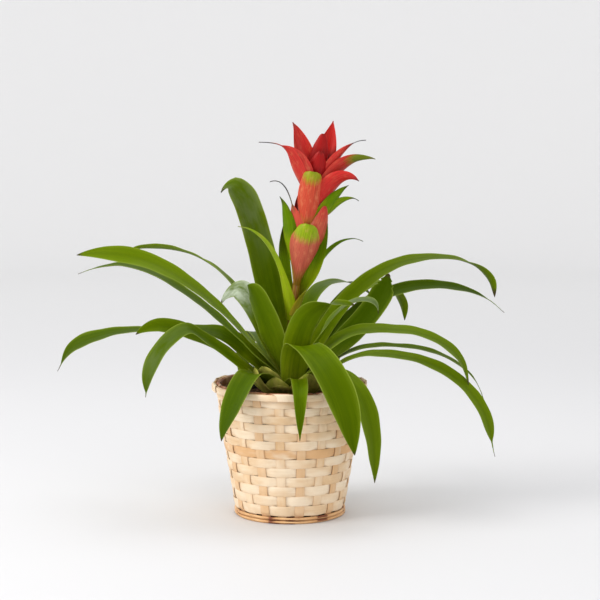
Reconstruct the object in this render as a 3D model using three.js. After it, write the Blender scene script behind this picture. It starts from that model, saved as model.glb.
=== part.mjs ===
// A flowering bromeliad in a woven splint basket, in millimetres, +Z up.
// The origin is the centre of the basket's foot, on the surface it stands on.
// +X is the plant's right and -Y its front.
//
// Basket: woven wall, two rim bands, two cane rods round the foot.
// Inside: plastic grow pot, soil.
// Plant: stepped crown, a rosette of strap leaves on the steps, a flower stem
// with boat-shaped bracts, each one a closed solid seated on what carries it.

import * as THREE from 'three';

// ---------------------------------------------------------------- driving dimensions

const GAP = 0.3; // clearance between pieces that rest on each other

const BASKET_HEIGHT = 144;
const RIM_RADIUS = 85; // outside of the outer rim band
const FOOT_RADIUS = 57; // woven wall where it meets the floor
const WALL = 3; // stakes and weavers together
const FLOOR_THICKNESS = 3.5;
const RIM_BAND_HEIGHT = 9;
const RIM_BAND_INNER_SIDES = { outer: 81.3, inner: 75.6 }; // inside radius of each rim band
const RIM_INNER_THICKNESS = 2.1;
const RIM_EDGE = 0.6; // bevel on the rim bands
const ROD_RADIUS = 1.7; // cane rods bound round the foot
const ROD_HEIGHTS = [1.9, 5.6]; // centre line of the lower and upper rod

const POT_FOOT_RADIUS = 50;
const POT_RIM_RADIUS = 73.4;
const POT_TOP = 131;
const POT_WALL = 1.6;
const POT_LEDGE = 119; // the pot steps out to its rim at this height
const SOIL_TOP = 129;
const SOIL_WELL_RADIUS = 17; // the crown's root sits in this well in the soil
const SOIL_WELL_FLOOR = 115;

const CROWN_RINGS = 6; // rings of leaf bases, outermost first
const RING_RADIUS = 21; // outermost ring
const RING_PITCH = 2.6; // each ring is this much smaller than the one below
const RING_RISE = 3; // and this much higher
const CROWN_STEP = 133; // height of the outermost step
const CROWN_SHOULDER = 131; // underside of the steps, above the soil

const LEAF_THICKNESS = 1.0;
const LEAF_COLOR = 0x55730f;
const BRACT_THICKNESS = 0.8;
const STEM_RADIUS_LOW = 4.6;
const STEM_RADIUS_TOP = 2.8;

// ---------------------------------------------------------------- plant data

// Leaves: ring and azimuth (degrees, 0 = +X, 270 = front) place the base on the crown, and swing is
// how far the leaf has turned sideways at its tip. Apex and tip are [distance from the plant's axis,
// height above the floor]; a leaf without a tip ends at its apex. For rise, droop and curl see arch.
// Roll turns the blade about its own line, at even steps from base to tip.
const LEAVES = [
  { name: 'leaf_front_left', ring: 0, azimuth: 227, swing: 10, width: 25, roll: [0, 0, 0],
    apex: [66, 160], tip: [129, 100], droop: 1.3 },
  { name: 'leaf_front_small', ring: 0, azimuth: 282, swing: -6, width: 14, roll: [0, 0, 0],
    apex: [62, 156], tip: [104, 99], curl: 2.5 },
  { name: 'leaf_front_right', ring: 0, azimuth: 310, swing: 6, width: 22, roll: [0, 0, 0],
    apex: [63, 163], tip: [124, 51], curl: 2 },
  { name: 'leaf_right_low', ring: 0, azimuth: 338, swing: 22, width: 19, roll: [10, 15, 25],
    apex: [95, 178], tip: [224, 61], curl: 1.6 },
  { name: 'leaf_left_bump', ring: 1, azimuth: 189, swing: 1, width: 15, roll: [0, -10, -20],
    apex: [141, 209], tip: [167, 200], rise: 1.6 },
  { name: 'leaf_front_bent', ring: 1, azimuth: 281, swing: 20, width: 30, roll: [0, 0, 0],
    apex: [54, 190], tip: [131, 86], rise: 3, droop: 1.8, curl: 1.5 },
  { name: 'leaf_left_arch', ring: 0, azimuth: 204, swing: 6, width: 21, roll: [0, -20, -25],
    apex: [121, 209], tip: [173, 142], rise: 1.2, droop: 1.5, curl: 1.8 },
  { name: 'leaf_right_thin', ring: 1, azimuth: 1, swing: 4, width: 12, roll: [10, 15, 10],
    apex: [105, 183], tip: [217, 113], rise: 2.6, curl: 1.5 },
  { name: 'leaf_left_long', ring: 2, azimuth: 180, swing: -15, width: 21, roll: [0, -40, -10, -30, -35],
    apex: [95, 199], tip: [271, 144], rise: 2.2, droop: 2.4, curl: 1.6 },
  { name: 'leaf_right_torn', ring: 2, azimuth: 335, swing: 22, width: 23, roll: [10, 30, 25],
    apex: [105, 205], tip: [194, 142], rise: 3, curl: 1.6 },
  { name: 'leaf_right_short', ring: 2, azimuth: 52, swing: -17, width: 15, roll: [0, 10, 10],
    apex: [122, 243], tip: [158, 199], rise: 1.8, curl: 1.8 },
  { name: 'leaf_left_back', ring: 2, azimuth: 124, swing: 21, width: 17, roll: [0, -5, -5],
    apex: [205, 279], tip: [240, 270], rise: 2.4 },
  { name: 'leaf_left_channel', ring: 3, azimuth: 203, swing: -18, width: 17, roll: [0, -5, -10],
    apex: [183, 274], tip: [227, 264], rise: 1.65 },
  { name: 'leaf_right_second', ring: 3, azimuth: 32, swing: -20, width: 18, roll: [0, 10, 25],
    apex: [165, 243], tip: [243, 213], rise: 2.2, curl: 1.2 },
  { name: 'leaf_right_hooked', ring: 3, azimuth: 323, swing: 16, width: 20, roll: [0, 10, 0],
    apex: [88, 238], tip: [101, 223], curl: 2 },
  { name: 'leaf_left_upper', ring: 4, azimuth: 182, swing: -10, width: 23, roll: [0, -10, -30, -35, -30],
    apex: [200, 282], tip: [236, 279] },
  { name: 'leaf_right_front', ring: 4, azimuth: 280, swing: 42, width: 27, roll: [0, 0, 0],
    apex: [76, 236], tip: [87, 235], rise: 2.6 },
  { name: 'leaf_right_upper', ring: 4, azimuth: 40, swing: -25, width: 20, roll: [0, 35, 20, 20, 20],
    apex: [175, 273], tip: [236, 229], rise: 2.2, curl: 1.8 },
  { name: 'leaf_left_glossy', ring: 4, azimuth: 144, swing: 4, width: 20, roll: [0, -20, 0],
    apex: [66, 240], tip: [90, 223], rise: 1.6 },
  { name: 'leaf_left_rounded', ring: 5, azimuth: 222, swing: -32, width: 27, roll: [0, 15, 20, 10, 0],
    apex: [46, 251], rise: 1.3 },
  { name: 'leaf_upright_tall', ring: 5, azimuth: 146, swing: 8, width: 27, roll: [-10, -35, -30],
    apex: [70, 355], tip: [84, 347], rise: 1.7 },
  { name: 'leaf_right_dark', ring: 5, azimuth: 8, swing: 3, width: 22, roll: [0, 60, 60],
    apex: [110, 260], rise: 1, lean: 1.6 },
  { name: 'leaf_right_grey', ring: 5, azimuth: 67, swing: -21, width: 18, roll: [0, 0, 0],
    apex: [92, 245], tip: [131, 228], rise: 3 },
  { name: 'leaf_old_left', ring: 1, azimuth: 230, swing: 0, width: 15, roll: [0, 0, 0],
    apex: [44, 166], rise: 1, lean: 1.3 },
  { name: 'leaf_old_middle', ring: 0, azimuth: 255, swing: 6, width: 14, roll: [0, 0, 0],
    apex: [52, 148], rise: 1, lean: 1.4 },
  { name: 'leaf_back_middle', ring: 1, azimuth: 87, swing: -4, width: 22, roll: [0, 0, 0],
    apex: [95, 196], tip: [205, 112] },
  { name: 'leaf_back_left', ring: 0, azimuth: 118, swing: -10, width: 21, roll: [0, 0, 0],
    apex: [98, 186], tip: [187, 105] },
  { name: 'leaf_back_right', ring: 0, azimuth: 60, swing: 8, width: 20, roll: [0, 0, 0],
    apex: [86, 178], tip: [143, 132] },
];

// The flower stem's line: upright from the top of the crown, then leaning to the right.
const STEM = [[0, 0, 151], [0, 0, 190], [11, 0, 275], [28, 0, 370]];

// Bracts: height and azimuth place the base on the stem. Apex and tip are [distance from the stem's
// axis, rise above the base], along the leaning stem.
const GREEN = 0x5f8210;
const PALE = 0x8fae55;
const SALMON = 0xc2503c;
const RED = 0xb8261c;
const BRACTS = [
  { name: 'bract_stem_left', height: 212, azimuth: 242, swing: -46, width: 10, roll: [0, 10],
    color: PALE, apex: [72, 103] },
  { name: 'bract_stem_right', height: 216, azimuth: 350, swing: 6, width: 12, roll: [0, 20],
    color: GREEN, apex: [25, 108], rise: 1, lean: 1.3 },
  { name: 'bract_stem_back', height: 232, azimuth: 148, swing: 2, width: 15, roll: [0, -30],
    color: GREEN, apex: [26, 85], rise: 1, lean: 2 },
  { name: 'bract_stem_thin', height: 228, azimuth: 48, swing: -30, width: 8, roll: [0, -20],
    color: GREEN, apex: [60, 70], tip: [70, 67], rise: 1.9 },
  { name: 'bract_front_low', height: 250, azimuth: 266, swing: 14, width: 27, roll: [0, 0],
    color: SALMON, apex: [18, 67], rise: 1, lean: 1.4 },
  { name: 'bract_left_green', height: 256, azimuth: 205, swing: -13, width: 15, roll: [0, 40],
    color: GREEN, apex: [33, 90], rise: 1.4 },
  { name: 'bract_back_low', height: 268, azimuth: 88, swing: 4, width: 24, roll: [0, 0],
    color: SALMON, apex: [20, 67], rise: 1, lean: 1.3 },
  { name: 'bract_right_low', height: 270, azimuth: 320, swing: 12, width: 14, roll: [0, 0],
    color: SALMON, apex: [20, 66], rise: 1, lean: 1.7 },
  { name: 'bract_left_thin', height: 288, azimuth: 208, swing: -14, width: 13, roll: [0, 20],
    color: SALMON, apex: [43, 75], tip: [48, 74], rise: 2.2, lean: 1.1 },
  { name: 'bract_right_thin', height: 303, azimuth: 2, swing: -9, width: 10, roll: [0, -30],
    color: GREEN, apex: [44, 41], tip: [52, 38], rise: 1.9 },
  { name: 'bract_back_middle', height: 298, azimuth: 104, swing: 0, width: 24, roll: [0, 0],
    color: RED, apex: [27, 64], rise: 1 },
  { name: 'bract_right_green', height: 308, azimuth: 341, swing: 9, width: 11, roll: [0, 0],
    color: GREEN, apex: [38, 50], rise: 1.3 },
  { name: 'bract_front_middle', height: 306, azimuth: 258, swing: 2, width: 16, roll: [0, 0],
    color: SALMON, apex: [18, 67], rise: 1, lean: 1.7 },
  { name: 'bract_right_dark', height: 322, azimuth: 320, swing: 20, width: 20, roll: [0, 0],
    color: RED, apex: [38, 46], tip: [50, 41], rise: 2.2 },
  { name: 'bract_back_high', height: 330, azimuth: 94, swing: 0, width: 22, roll: [0, 0],
    color: RED, apex: [28, 66], rise: 1.1 },
  { name: 'bract_left_red', height: 334, azimuth: 222, swing: -34, width: 19, roll: [0, 35],
    color: RED, apex: [68, 70], rise: 2.9 },
  { name: 'bract_right_tipped', height: 338, azimuth: 339, swing: 12, width: 14, roll: [0, -30],
    color: RED, apex: [55, 49], tip: [61, 48], rise: 2.8 },
  { name: 'bract_front_cup', height: 346, azimuth: 262, swing: 10, width: 14, roll: [0, 0],
    color: RED, apex: [11, 48], rise: 1, lean: 1.5 },
  { name: 'bract_right_slim', height: 352, azimuth: 336, swing: 18, width: 11, roll: [0, -25],
    color: RED, apex: [47, 54], rise: 2.3 },
  { name: 'bract_top_right', height: 358, azimuth: 70, swing: -12, width: 18, roll: [0, 0],
    color: RED, apex: [16, 68], rise: 1, lean: 2.2 },
  { name: 'bract_top_left', height: 362, azimuth: 172, swing: 6, width: 17, roll: [-10, -45],
    color: RED, apex: [35, 63], rise: 1.2 },
  { name: 'bract_bud', height: 371, azimuth: 270, swing: 0, width: 10, roll: [0, 0],
    color: RED, apex: [6, 43], rise: 1, lean: 1.5 },
];

// ---------------------------------------------------------------- helpers

const BLUNT_TIP = 0.05; // width of a blade's end, as a part of its full width
const TIP_THINNING = 0.4; // how much thinner a blade is at its tip
const RISE_PLACES = [0.15, 0.32, 0.5, 0.68, 0.84, 1]; // where an arch is sampled between foot and apex
const FALL_PLACES = [0.25, 0.5, 0.75, 1]; // and between apex and tip
const radians = THREE.MathUtils.degToRad;

function material(color, roughness) {
  return new THREE.MeshStandardMaterial({ color, roughness, metalness: 0 });
}

function named(name, geometry, surface) {
  const mesh = new THREE.Mesh(geometry, surface);
  mesh.name = name;
  return mesh;
}

// A value that runs evenly through a list as u goes from 0 to 1.
function along(list, u) {
  const place = u * (list.length - 1);
  const index = Math.min(Math.floor(place), list.length - 2);
  return THREE.MathUtils.lerp(list[index], list[index + 1], place - index);
}

// The line of a blade that rises from its foot to its apex and droops to its tip, as
// [distance, height, azimuth]. More rise steepens its start, more lean makes it stand away
// from its foot early, more droop keeps it level past the apex, and more curl turns its end down.
function arch({ foot, apex, tip, azimuth, swing, rise = 2, lean = 1, droop = 2, curl = 1 }) {
  const { lerp } = THREE.MathUtils;
  const end = tip ?? apex;
  const rising = RISE_PLACES.map((t) => [
    lerp(foot[0], apex[0], 1 - (1 - t) ** lean),
    lerp(foot[1], apex[1], 1 - (1 - t) ** rise),
  ]);
  const falling = FALL_PLACES.map((t) => [
    lerp(apex[0], end[0], 1 - (1 - t) ** curl),
    lerp(apex[1], end[1], t ** droop),
  ]);
  const line = tip ? [...rising, ...falling] : rising;
  return line.map(([distance, height]) => {
    const reached = (distance - foot[0]) / (end[0] - foot[0]);
    return [distance, height, azimuth + swing * reached];
  });
}

// A thin closed blade along a line, with a round channel facing the plant's axis.
// Each ring of points runs across the upper face and back across the lower one.
function bladeGeometry(blade) {
  const { points, azimuth, roll, widths, channel, thickness, steps, across } = blade;
  const line = new THREE.CatmullRomCurve3(points, false, 'centripetal');
  const away = radians(azimuth);
  const reference = new THREE.Vector3(-Math.sin(away), Math.cos(away), 0);
  const ringSize = 2 * (across + 1);
  const positions = [];
  for (let i = 0; i <= steps; i += 1) {
    const u = i / steps;
    const centre = line.getPointAt(u);
    const tangent = line.getTangentAt(u);
    const side = reference.clone().addScaledVector(tangent, -reference.dot(tangent)).normalize();
    side.applyAxisAngle(tangent, radians(along(roll, u)));
    const inward = new THREE.Vector3().crossVectors(tangent, side);
    const halfWidth = widths(u) / 2;
    const halfArc = channel(u, halfWidth);
    const radius = halfWidth / halfArc;
    for (let j = 0; j < ringSize; j += 1) {
      const upper = j <= across;
      const v = upper ? -1 + (2 * j) / across : 1 - (2 * (j - across - 1)) / across;
      const angle = v * halfArc;
      const half = 0.5 * thickness(u) * (1 - 0.5 * v * v) * (upper ? 1 : -1);
      const reach = radius - half;
      positions.push(
        ...centre.clone()
          .addScaledVector(side, reach * Math.sin(angle))
          .addScaledVector(inward, radius - reach * Math.cos(angle))
          .toArray(),
      );
    }
  }
  const indices = [];
  for (let i = 0; i < steps; i += 1) {
    for (let j = 0; j < ringSize; j += 1) {
      const a = i * ringSize + j;
      const b = i * ringSize + ((j + 1) % ringSize);
      indices.push(a, b + ringSize, b, a, a + ringSize, b + ringSize);
    }
  }
  const last = steps * ringSize;
  for (let j = 0; j < across; j += 1) {
    const k = ringSize - 1 - j;
    indices.push(j, j + 1, k, k, j + 1, k - 1);
    indices.push(last + j, last + k, last + j + 1, last + k, last + k - 1, last + j + 1);
  }
  const geometry = new THREE.BufferGeometry();
  geometry.setAttribute('position', new THREE.Float32BufferAttribute(positions, 3));
  geometry.setIndex(indices);
  geometry.computeVertexNormals();
  return geometry;
}

// A solid of revolution about Z from [radius, height] pairs.
function turned(profile, segments) {
  const outline = profile.map(([radius, height]) => new THREE.Vector2(radius, height));
  return new THREE.LatheGeometry(outline, segments).rotateX(Math.PI / 2);
}

// Blade width along its length: it swells from its base over the first part and
// tapers to a blunt point over the last part.
function bladeWidth(u, { baseWidth, width, swellPart, taperPart }) {
  const swell = THREE.MathUtils.smoothstep(u, 0, swellPart);
  const taper = Math.sin((Math.PI / 2) * Math.min(1, (1 - u) / taperPart));
  return THREE.MathUtils.lerp(baseWidth, width, swell) * Math.max(taper, BLUNT_TIP);
}

const ringRadius = (ring) => RING_RADIUS - ring * RING_PITCH;
const ringHeight = (ring) => CROWN_STEP + ring * RING_RISE;

// ---------------------------------------------------------------- leaves

const LEAF_STEPS = 14;
const SHEATH_WIDTH = 8; // leaf width where it joins the crown
const INNER_SHEATH_WIDTH = 6.5; // the same on the crowded inner rings
const INNER_RINGS_FROM = 4;
const LEAF_SHEATH_RISE = 5; // a leaf stands this far off its step before it leans out
const LEAF_SWELL = 0.3; // part of its length over which a leaf widens
const LEAF_TAPER = 0.45;
const LEAF_HALF_ARC = 0.3; // half angle of the open channel along the blade, radians

function leaf(entry) {
  const { name, ring, azimuth, width, roll } = entry;
  const away = radians(azimuth);
  const radius = ringRadius(ring);
  const base = new THREE.Vector3(radius * Math.cos(away), radius * Math.sin(away), ringHeight(ring) + GAP);
  const sheath = base.clone().add(new THREE.Vector3(Math.cos(away), Math.sin(away), LEAF_SHEATH_RISE));
  const line = arch({ ...entry, foot: [radius, ringHeight(ring)] }).map(([distance, height, angle]) => (
    new THREE.Vector3(distance * Math.cos(radians(angle)), distance * Math.sin(radians(angle)), height)
  ));
  const baseWidth = ring < INNER_RINGS_FROM ? SHEATH_WIDTH : INNER_SHEATH_WIDTH;
  const shape = { baseWidth, width, swellPart: LEAF_SWELL, taperPart: LEAF_TAPER };
  const geometry = bladeGeometry({
    points: [base, sheath, ...line],
    azimuth,
    roll,
    widths: (u) => bladeWidth(u, shape),
    channel: (u, half) => {
      const open = THREE.MathUtils.smoothstep(u, 0, LEAF_SWELL);
      return THREE.MathUtils.lerp(half / radius, LEAF_HALF_ARC, open);
    },
    thickness: (u) => LEAF_THICKNESS * (1 - TIP_THINNING * u),
    steps: LEAF_STEPS,
    across: 2,
  });
  return named(name, geometry, material(LEAF_COLOR, 0.4));
}

// ---------------------------------------------------------------- flower

const stemPoints = STEM.map((point) => new THREE.Vector3(...point));
const stemLine = new THREE.CatmullRomCurve3(stemPoints, false, 'centripetal');
const STEM_STEPS = 12;
const STEM_SIDES = 12;

const BRACT_STEPS = 8;
const BRACT_SHEATH_WIDTH = 7; // bract width where it leaves the stem
const BRACT_SHEATH_RISE = 4; // a bract follows the stem this far before it leans out
const BRACT_SWELL = 0.4; // part of its length over which a bract widens
const BRACT_TAPER = 0.6;
const BRACT_HALF_ARC = { base: 0.8, tip: 0.5 }; // half angle of the boat shape, radians
const stemRadius = (u) => THREE.MathUtils.lerp(STEM_RADIUS_LOW, STEM_RADIUS_TOP, u);

// How far along the stem's line a height lies.
function stemPlace(height) {
  let low = 0;
  let high = 1;
  for (let i = 0; i < 30; i += 1) {
    const middle = (low + high) / 2;
    if (stemLine.getPointAt(middle).z < height) low = middle;
    else high = middle;
  }
  return low;
}

function stemGeometry() {
  const positions = [];
  for (let i = 0; i <= STEM_STEPS; i += 1) {
    const u = i / STEM_STEPS;
    const centre = stemLine.getPointAt(u);
    for (let j = 0; j < STEM_SIDES; j += 1) {
      const angle = (2 * Math.PI * j) / STEM_SIDES;
      positions.push(
        centre.x + stemRadius(u) * Math.cos(angle),
        centre.y + stemRadius(u) * Math.sin(angle),
        centre.z + GAP,
      );
    }
  }
  const indices = [];
  for (let i = 0; i < STEM_STEPS; i += 1) {
    for (let j = 0; j < STEM_SIDES; j += 1) {
      const a = i * STEM_SIDES + j;
      const b = i * STEM_SIDES + ((j + 1) % STEM_SIDES);
      indices.push(a, b, b + STEM_SIDES, a, b + STEM_SIDES, a + STEM_SIDES);
    }
  }
  const last = STEM_STEPS * STEM_SIDES;
  for (let j = 1; j < STEM_SIDES - 1; j += 1) {
    indices.push(0, j + 1, j, last, last + j, last + j + 1);
  }
  const geometry = new THREE.BufferGeometry();
  geometry.setAttribute('position', new THREE.Float32BufferAttribute(positions, 3));
  geometry.setIndex(indices);
  geometry.computeVertexNormals();
  return geometry;
}

function bract(entry) {
  const { name, height, azimuth, width, roll, color } = entry;
  const away = radians(azimuth);
  const place = stemPlace(height);
  const reach = stemRadius(place) + GAP + BRACT_THICKNESS / 2;
  const outward = new THREE.Vector3(Math.cos(away), Math.sin(away), 0);
  const centre = stemLine.getPointAt(place);
  const axis = stemLine.getTangentAt(place);
  axis.divideScalar(axis.z);
  const base = centre.clone().addScaledVector(outward, reach);
  const risen = stemPlace(height + BRACT_SHEATH_RISE);
  const sheath = stemLine.getPointAt(risen).addScaledVector(outward, reach + 1);
  const line = arch({ ...entry, foot: [reach, 0] }).map(([distance, risenBy, angle]) => (
    new THREE.Vector3(distance * Math.cos(radians(angle)), distance * Math.sin(radians(angle)), 0)
      .add(centre)
      .addScaledVector(axis, risenBy)
  ));
  const baseWidth = Math.min(width, BRACT_SHEATH_WIDTH);
  const shape = { baseWidth, width, swellPart: BRACT_SWELL, taperPart: BRACT_TAPER };
  const geometry = bladeGeometry({
    points: [base, sheath, ...line],
    azimuth,
    roll,
    widths: (u) => bladeWidth(u, shape),
    channel: (u) => THREE.MathUtils.lerp(BRACT_HALF_ARC.base, BRACT_HALF_ARC.tip, u),
    thickness: (u) => BRACT_THICKNESS * (1 - TIP_THINNING * u),
    steps: BRACT_STEPS,
    across: 4,
  });
  return named(name, geometry, material(color, 0.45));
}

// ---------------------------------------------------------------- crown, soil and pot

function crown() {
  const root = SOIL_WELL_RADIUS - GAP;
  const bottom = SOIL_WELL_FLOOR + GAP;
  const profile = [
    [0, bottom], [root, bottom], [root, CROWN_SHOULDER], [RING_RADIUS + RING_PITCH / 2, CROWN_SHOULDER],
  ];
  for (let ring = 0; ring < CROWN_RINGS; ring += 1) {
    const outer = ringRadius(ring) + RING_PITCH / 2;
    profile.push([outer, ringHeight(ring)], [outer - RING_PITCH, ringHeight(ring)]);
  }
  const top = ringHeight(CROWN_RINGS);
  profile.push([ringRadius(CROWN_RINGS) + RING_PITCH / 2, top], [0, top]);
  return named('crown', turned(profile, 24), material(0x6f6a35, 0.7));
}

function soil() {
  const bottom = FLOOR_THICKNESS + GAP + POT_WALL + 0.6;
  const profile = [
    [0, bottom], [POT_FOOT_RADIUS - POT_WALL - 0.4, bottom], [66.6, POT_LEDGE - 1.5], [67, POT_LEDGE + 0.2],
    [70.5, POT_LEDGE + 2.2], [70.5, SOIL_TOP - 4], [45, SOIL_TOP - 1.5], [26, SOIL_TOP],
    [SOIL_WELL_RADIUS, SOIL_TOP], [SOIL_WELL_RADIUS, SOIL_WELL_FLOOR], [0, SOIL_WELL_FLOOR],
  ];
  return named('soil', turned(profile, 40), material(0x3a2717, 0.95));
}

function growPot() {
  const bottom = FLOOR_THICKNESS + GAP;
  const floor = bottom + POT_WALL + 0.2;
  const profile = [
    [0, bottom], [POT_FOOT_RADIUS, bottom], [68.8, POT_LEDGE - 1.4], [72.6, POT_LEDGE],
    [POT_RIM_RADIUS, POT_TOP], [POT_RIM_RADIUS - POT_WALL, POT_TOP], [71, POT_LEDGE + 1.2],
    [67.2, POT_LEDGE - 0.4], [POT_FOOT_RADIUS - POT_WALL + 0.2, floor], [0, floor],
  ];
  return named('grow_pot', turned(profile, 40), material(0x2a2622, 0.6));
}

// ---------------------------------------------------------------- basket

// The outside of the weave, from the floor up: [radius, height].
const WALL_OUTSIDE = [
  [FOOT_RADIUS, 0], [FOOT_RADIUS, 7], [61.5, 9], [64.5, 30], [68.5, 55], [73, 80], [76.5, 105],
  [80, 130], [81, 135], [81, 142],
];

function basketWall() {
  const inside = WALL_OUTSIDE.slice(2).reverse().map(([radius, height]) => [radius - WALL, height]);
  const profile = [[0, 0], ...WALL_OUTSIDE, ...inside, [56, FLOOR_THICKNESS], [0, FLOOR_THICKNESS]];
  return named('basket_wall', turned(profile, 40), material(0xe3c79b, 0.7));
}

function rimBand(name, inner, outer) {
  const low = BASKET_HEIGHT - RIM_BAND_HEIGHT;
  const profile = [
    [inner, low], [outer - RIM_EDGE, low], [outer, low + RIM_EDGE], [outer, BASKET_HEIGHT - RIM_EDGE],
    [outer - RIM_EDGE, BASKET_HEIGHT], [inner, BASKET_HEIGHT], [inner, low],
  ];
  return named(name, turned(profile, 40), material(0xe8cfa6, 0.65));
}

function footRod(name, height) {
  const rod = new THREE.TorusGeometry(FOOT_RADIUS + GAP + ROD_RADIUS, ROD_RADIUS, 6, 32);
  const mesh = named(name, rod, material(0xb98a55, 0.6));
  mesh.position.z = height;
  return mesh;
}

// ---------------------------------------------------------------- assembly

const sides = RIM_BAND_INNER_SIDES;
const basket = new THREE.Group();
basket.add(
  basketWall(),
  rimBand('basket_rim_outer', sides.outer, RIM_RADIUS),
  rimBand('basket_rim_inner', sides.inner, sides.inner + RIM_INNER_THICKNESS),
  footRod('basket_foot_rod', ROD_HEIGHTS[0]),
  footRod('basket_foot_rod_upper', ROD_HEIGHTS[1]),
);

const plant = new THREE.Group();
plant.add(crown(), named('flower_stem', stemGeometry(), material(0x8a9a2a, 0.5)));
LEAVES.forEach((entry) => plant.add(leaf(entry)));
BRACTS.forEach((entry) => plant.add(bract(entry)));

const bromeliad = new THREE.Group();
bromeliad.add(basket, growPot(), soil(), plant);

export default bromeliad;
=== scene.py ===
"""A flowering bromeliad in a woven splint basket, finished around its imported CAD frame.

The plant's blades repeat the lines of the CAD leaves and bracts and add what those leave out:
clasping bases, channels, rippled edges, drawn-out tips, veins and colour. The basket's wall is
woven here from stakes and hoops. Lengths in the tables are millimetres; everything built is in
metres, in the frame's own axes: +Z up, +X to the plant's right, -Y to the front.
"""

import math

import bpy
import numpy as np
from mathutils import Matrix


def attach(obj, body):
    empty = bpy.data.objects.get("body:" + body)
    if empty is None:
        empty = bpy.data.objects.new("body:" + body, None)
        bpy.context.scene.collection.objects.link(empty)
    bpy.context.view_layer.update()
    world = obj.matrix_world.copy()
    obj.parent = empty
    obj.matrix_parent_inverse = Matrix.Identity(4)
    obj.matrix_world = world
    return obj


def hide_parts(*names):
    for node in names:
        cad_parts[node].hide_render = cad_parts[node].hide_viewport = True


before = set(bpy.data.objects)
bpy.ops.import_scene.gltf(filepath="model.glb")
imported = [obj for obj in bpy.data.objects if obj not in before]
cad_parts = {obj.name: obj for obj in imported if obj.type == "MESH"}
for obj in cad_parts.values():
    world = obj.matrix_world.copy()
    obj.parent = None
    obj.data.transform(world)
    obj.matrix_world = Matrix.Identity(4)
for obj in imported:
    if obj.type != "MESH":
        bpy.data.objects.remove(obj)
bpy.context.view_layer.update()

MM = 0.001
rng = np.random.default_rng(7)

# ---------------- sizes, millimetres

BASKET_HEIGHT = 144.0
FOOT_RADIUS = 57.0
ROD_RADIUS = 1.7
CLEARANCE = 0.3  # between one sub-part and the next

# The crown is stepped: each ring of leaves stands on a step further in and higher up.
CROWN_RING_RADIUS = 21.0
CROWN_RING_PITCH = 2.6
CROWN_RING_RISE = 3.0
CROWN_STEP = 133.0
CROWN_RINGS = 6

STEM_RADIUS_LOW = 4.6
STEM_RADIUS_TOP = 2.8
SOIL_TOP = 129.0

# ---------------- plant data


def leaf(name, ring, azimuth, swing, width, apex, roll=(0, 0), **shape):
    """A row of LEAVES; shape holds other values that arch, leaf_shape and blade take."""
    return dict(name="leaf_" + name, ring=ring, azimuth=azimuth, swing=swing, width=width, apex=apex,
                roll=roll, **shape)


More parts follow.
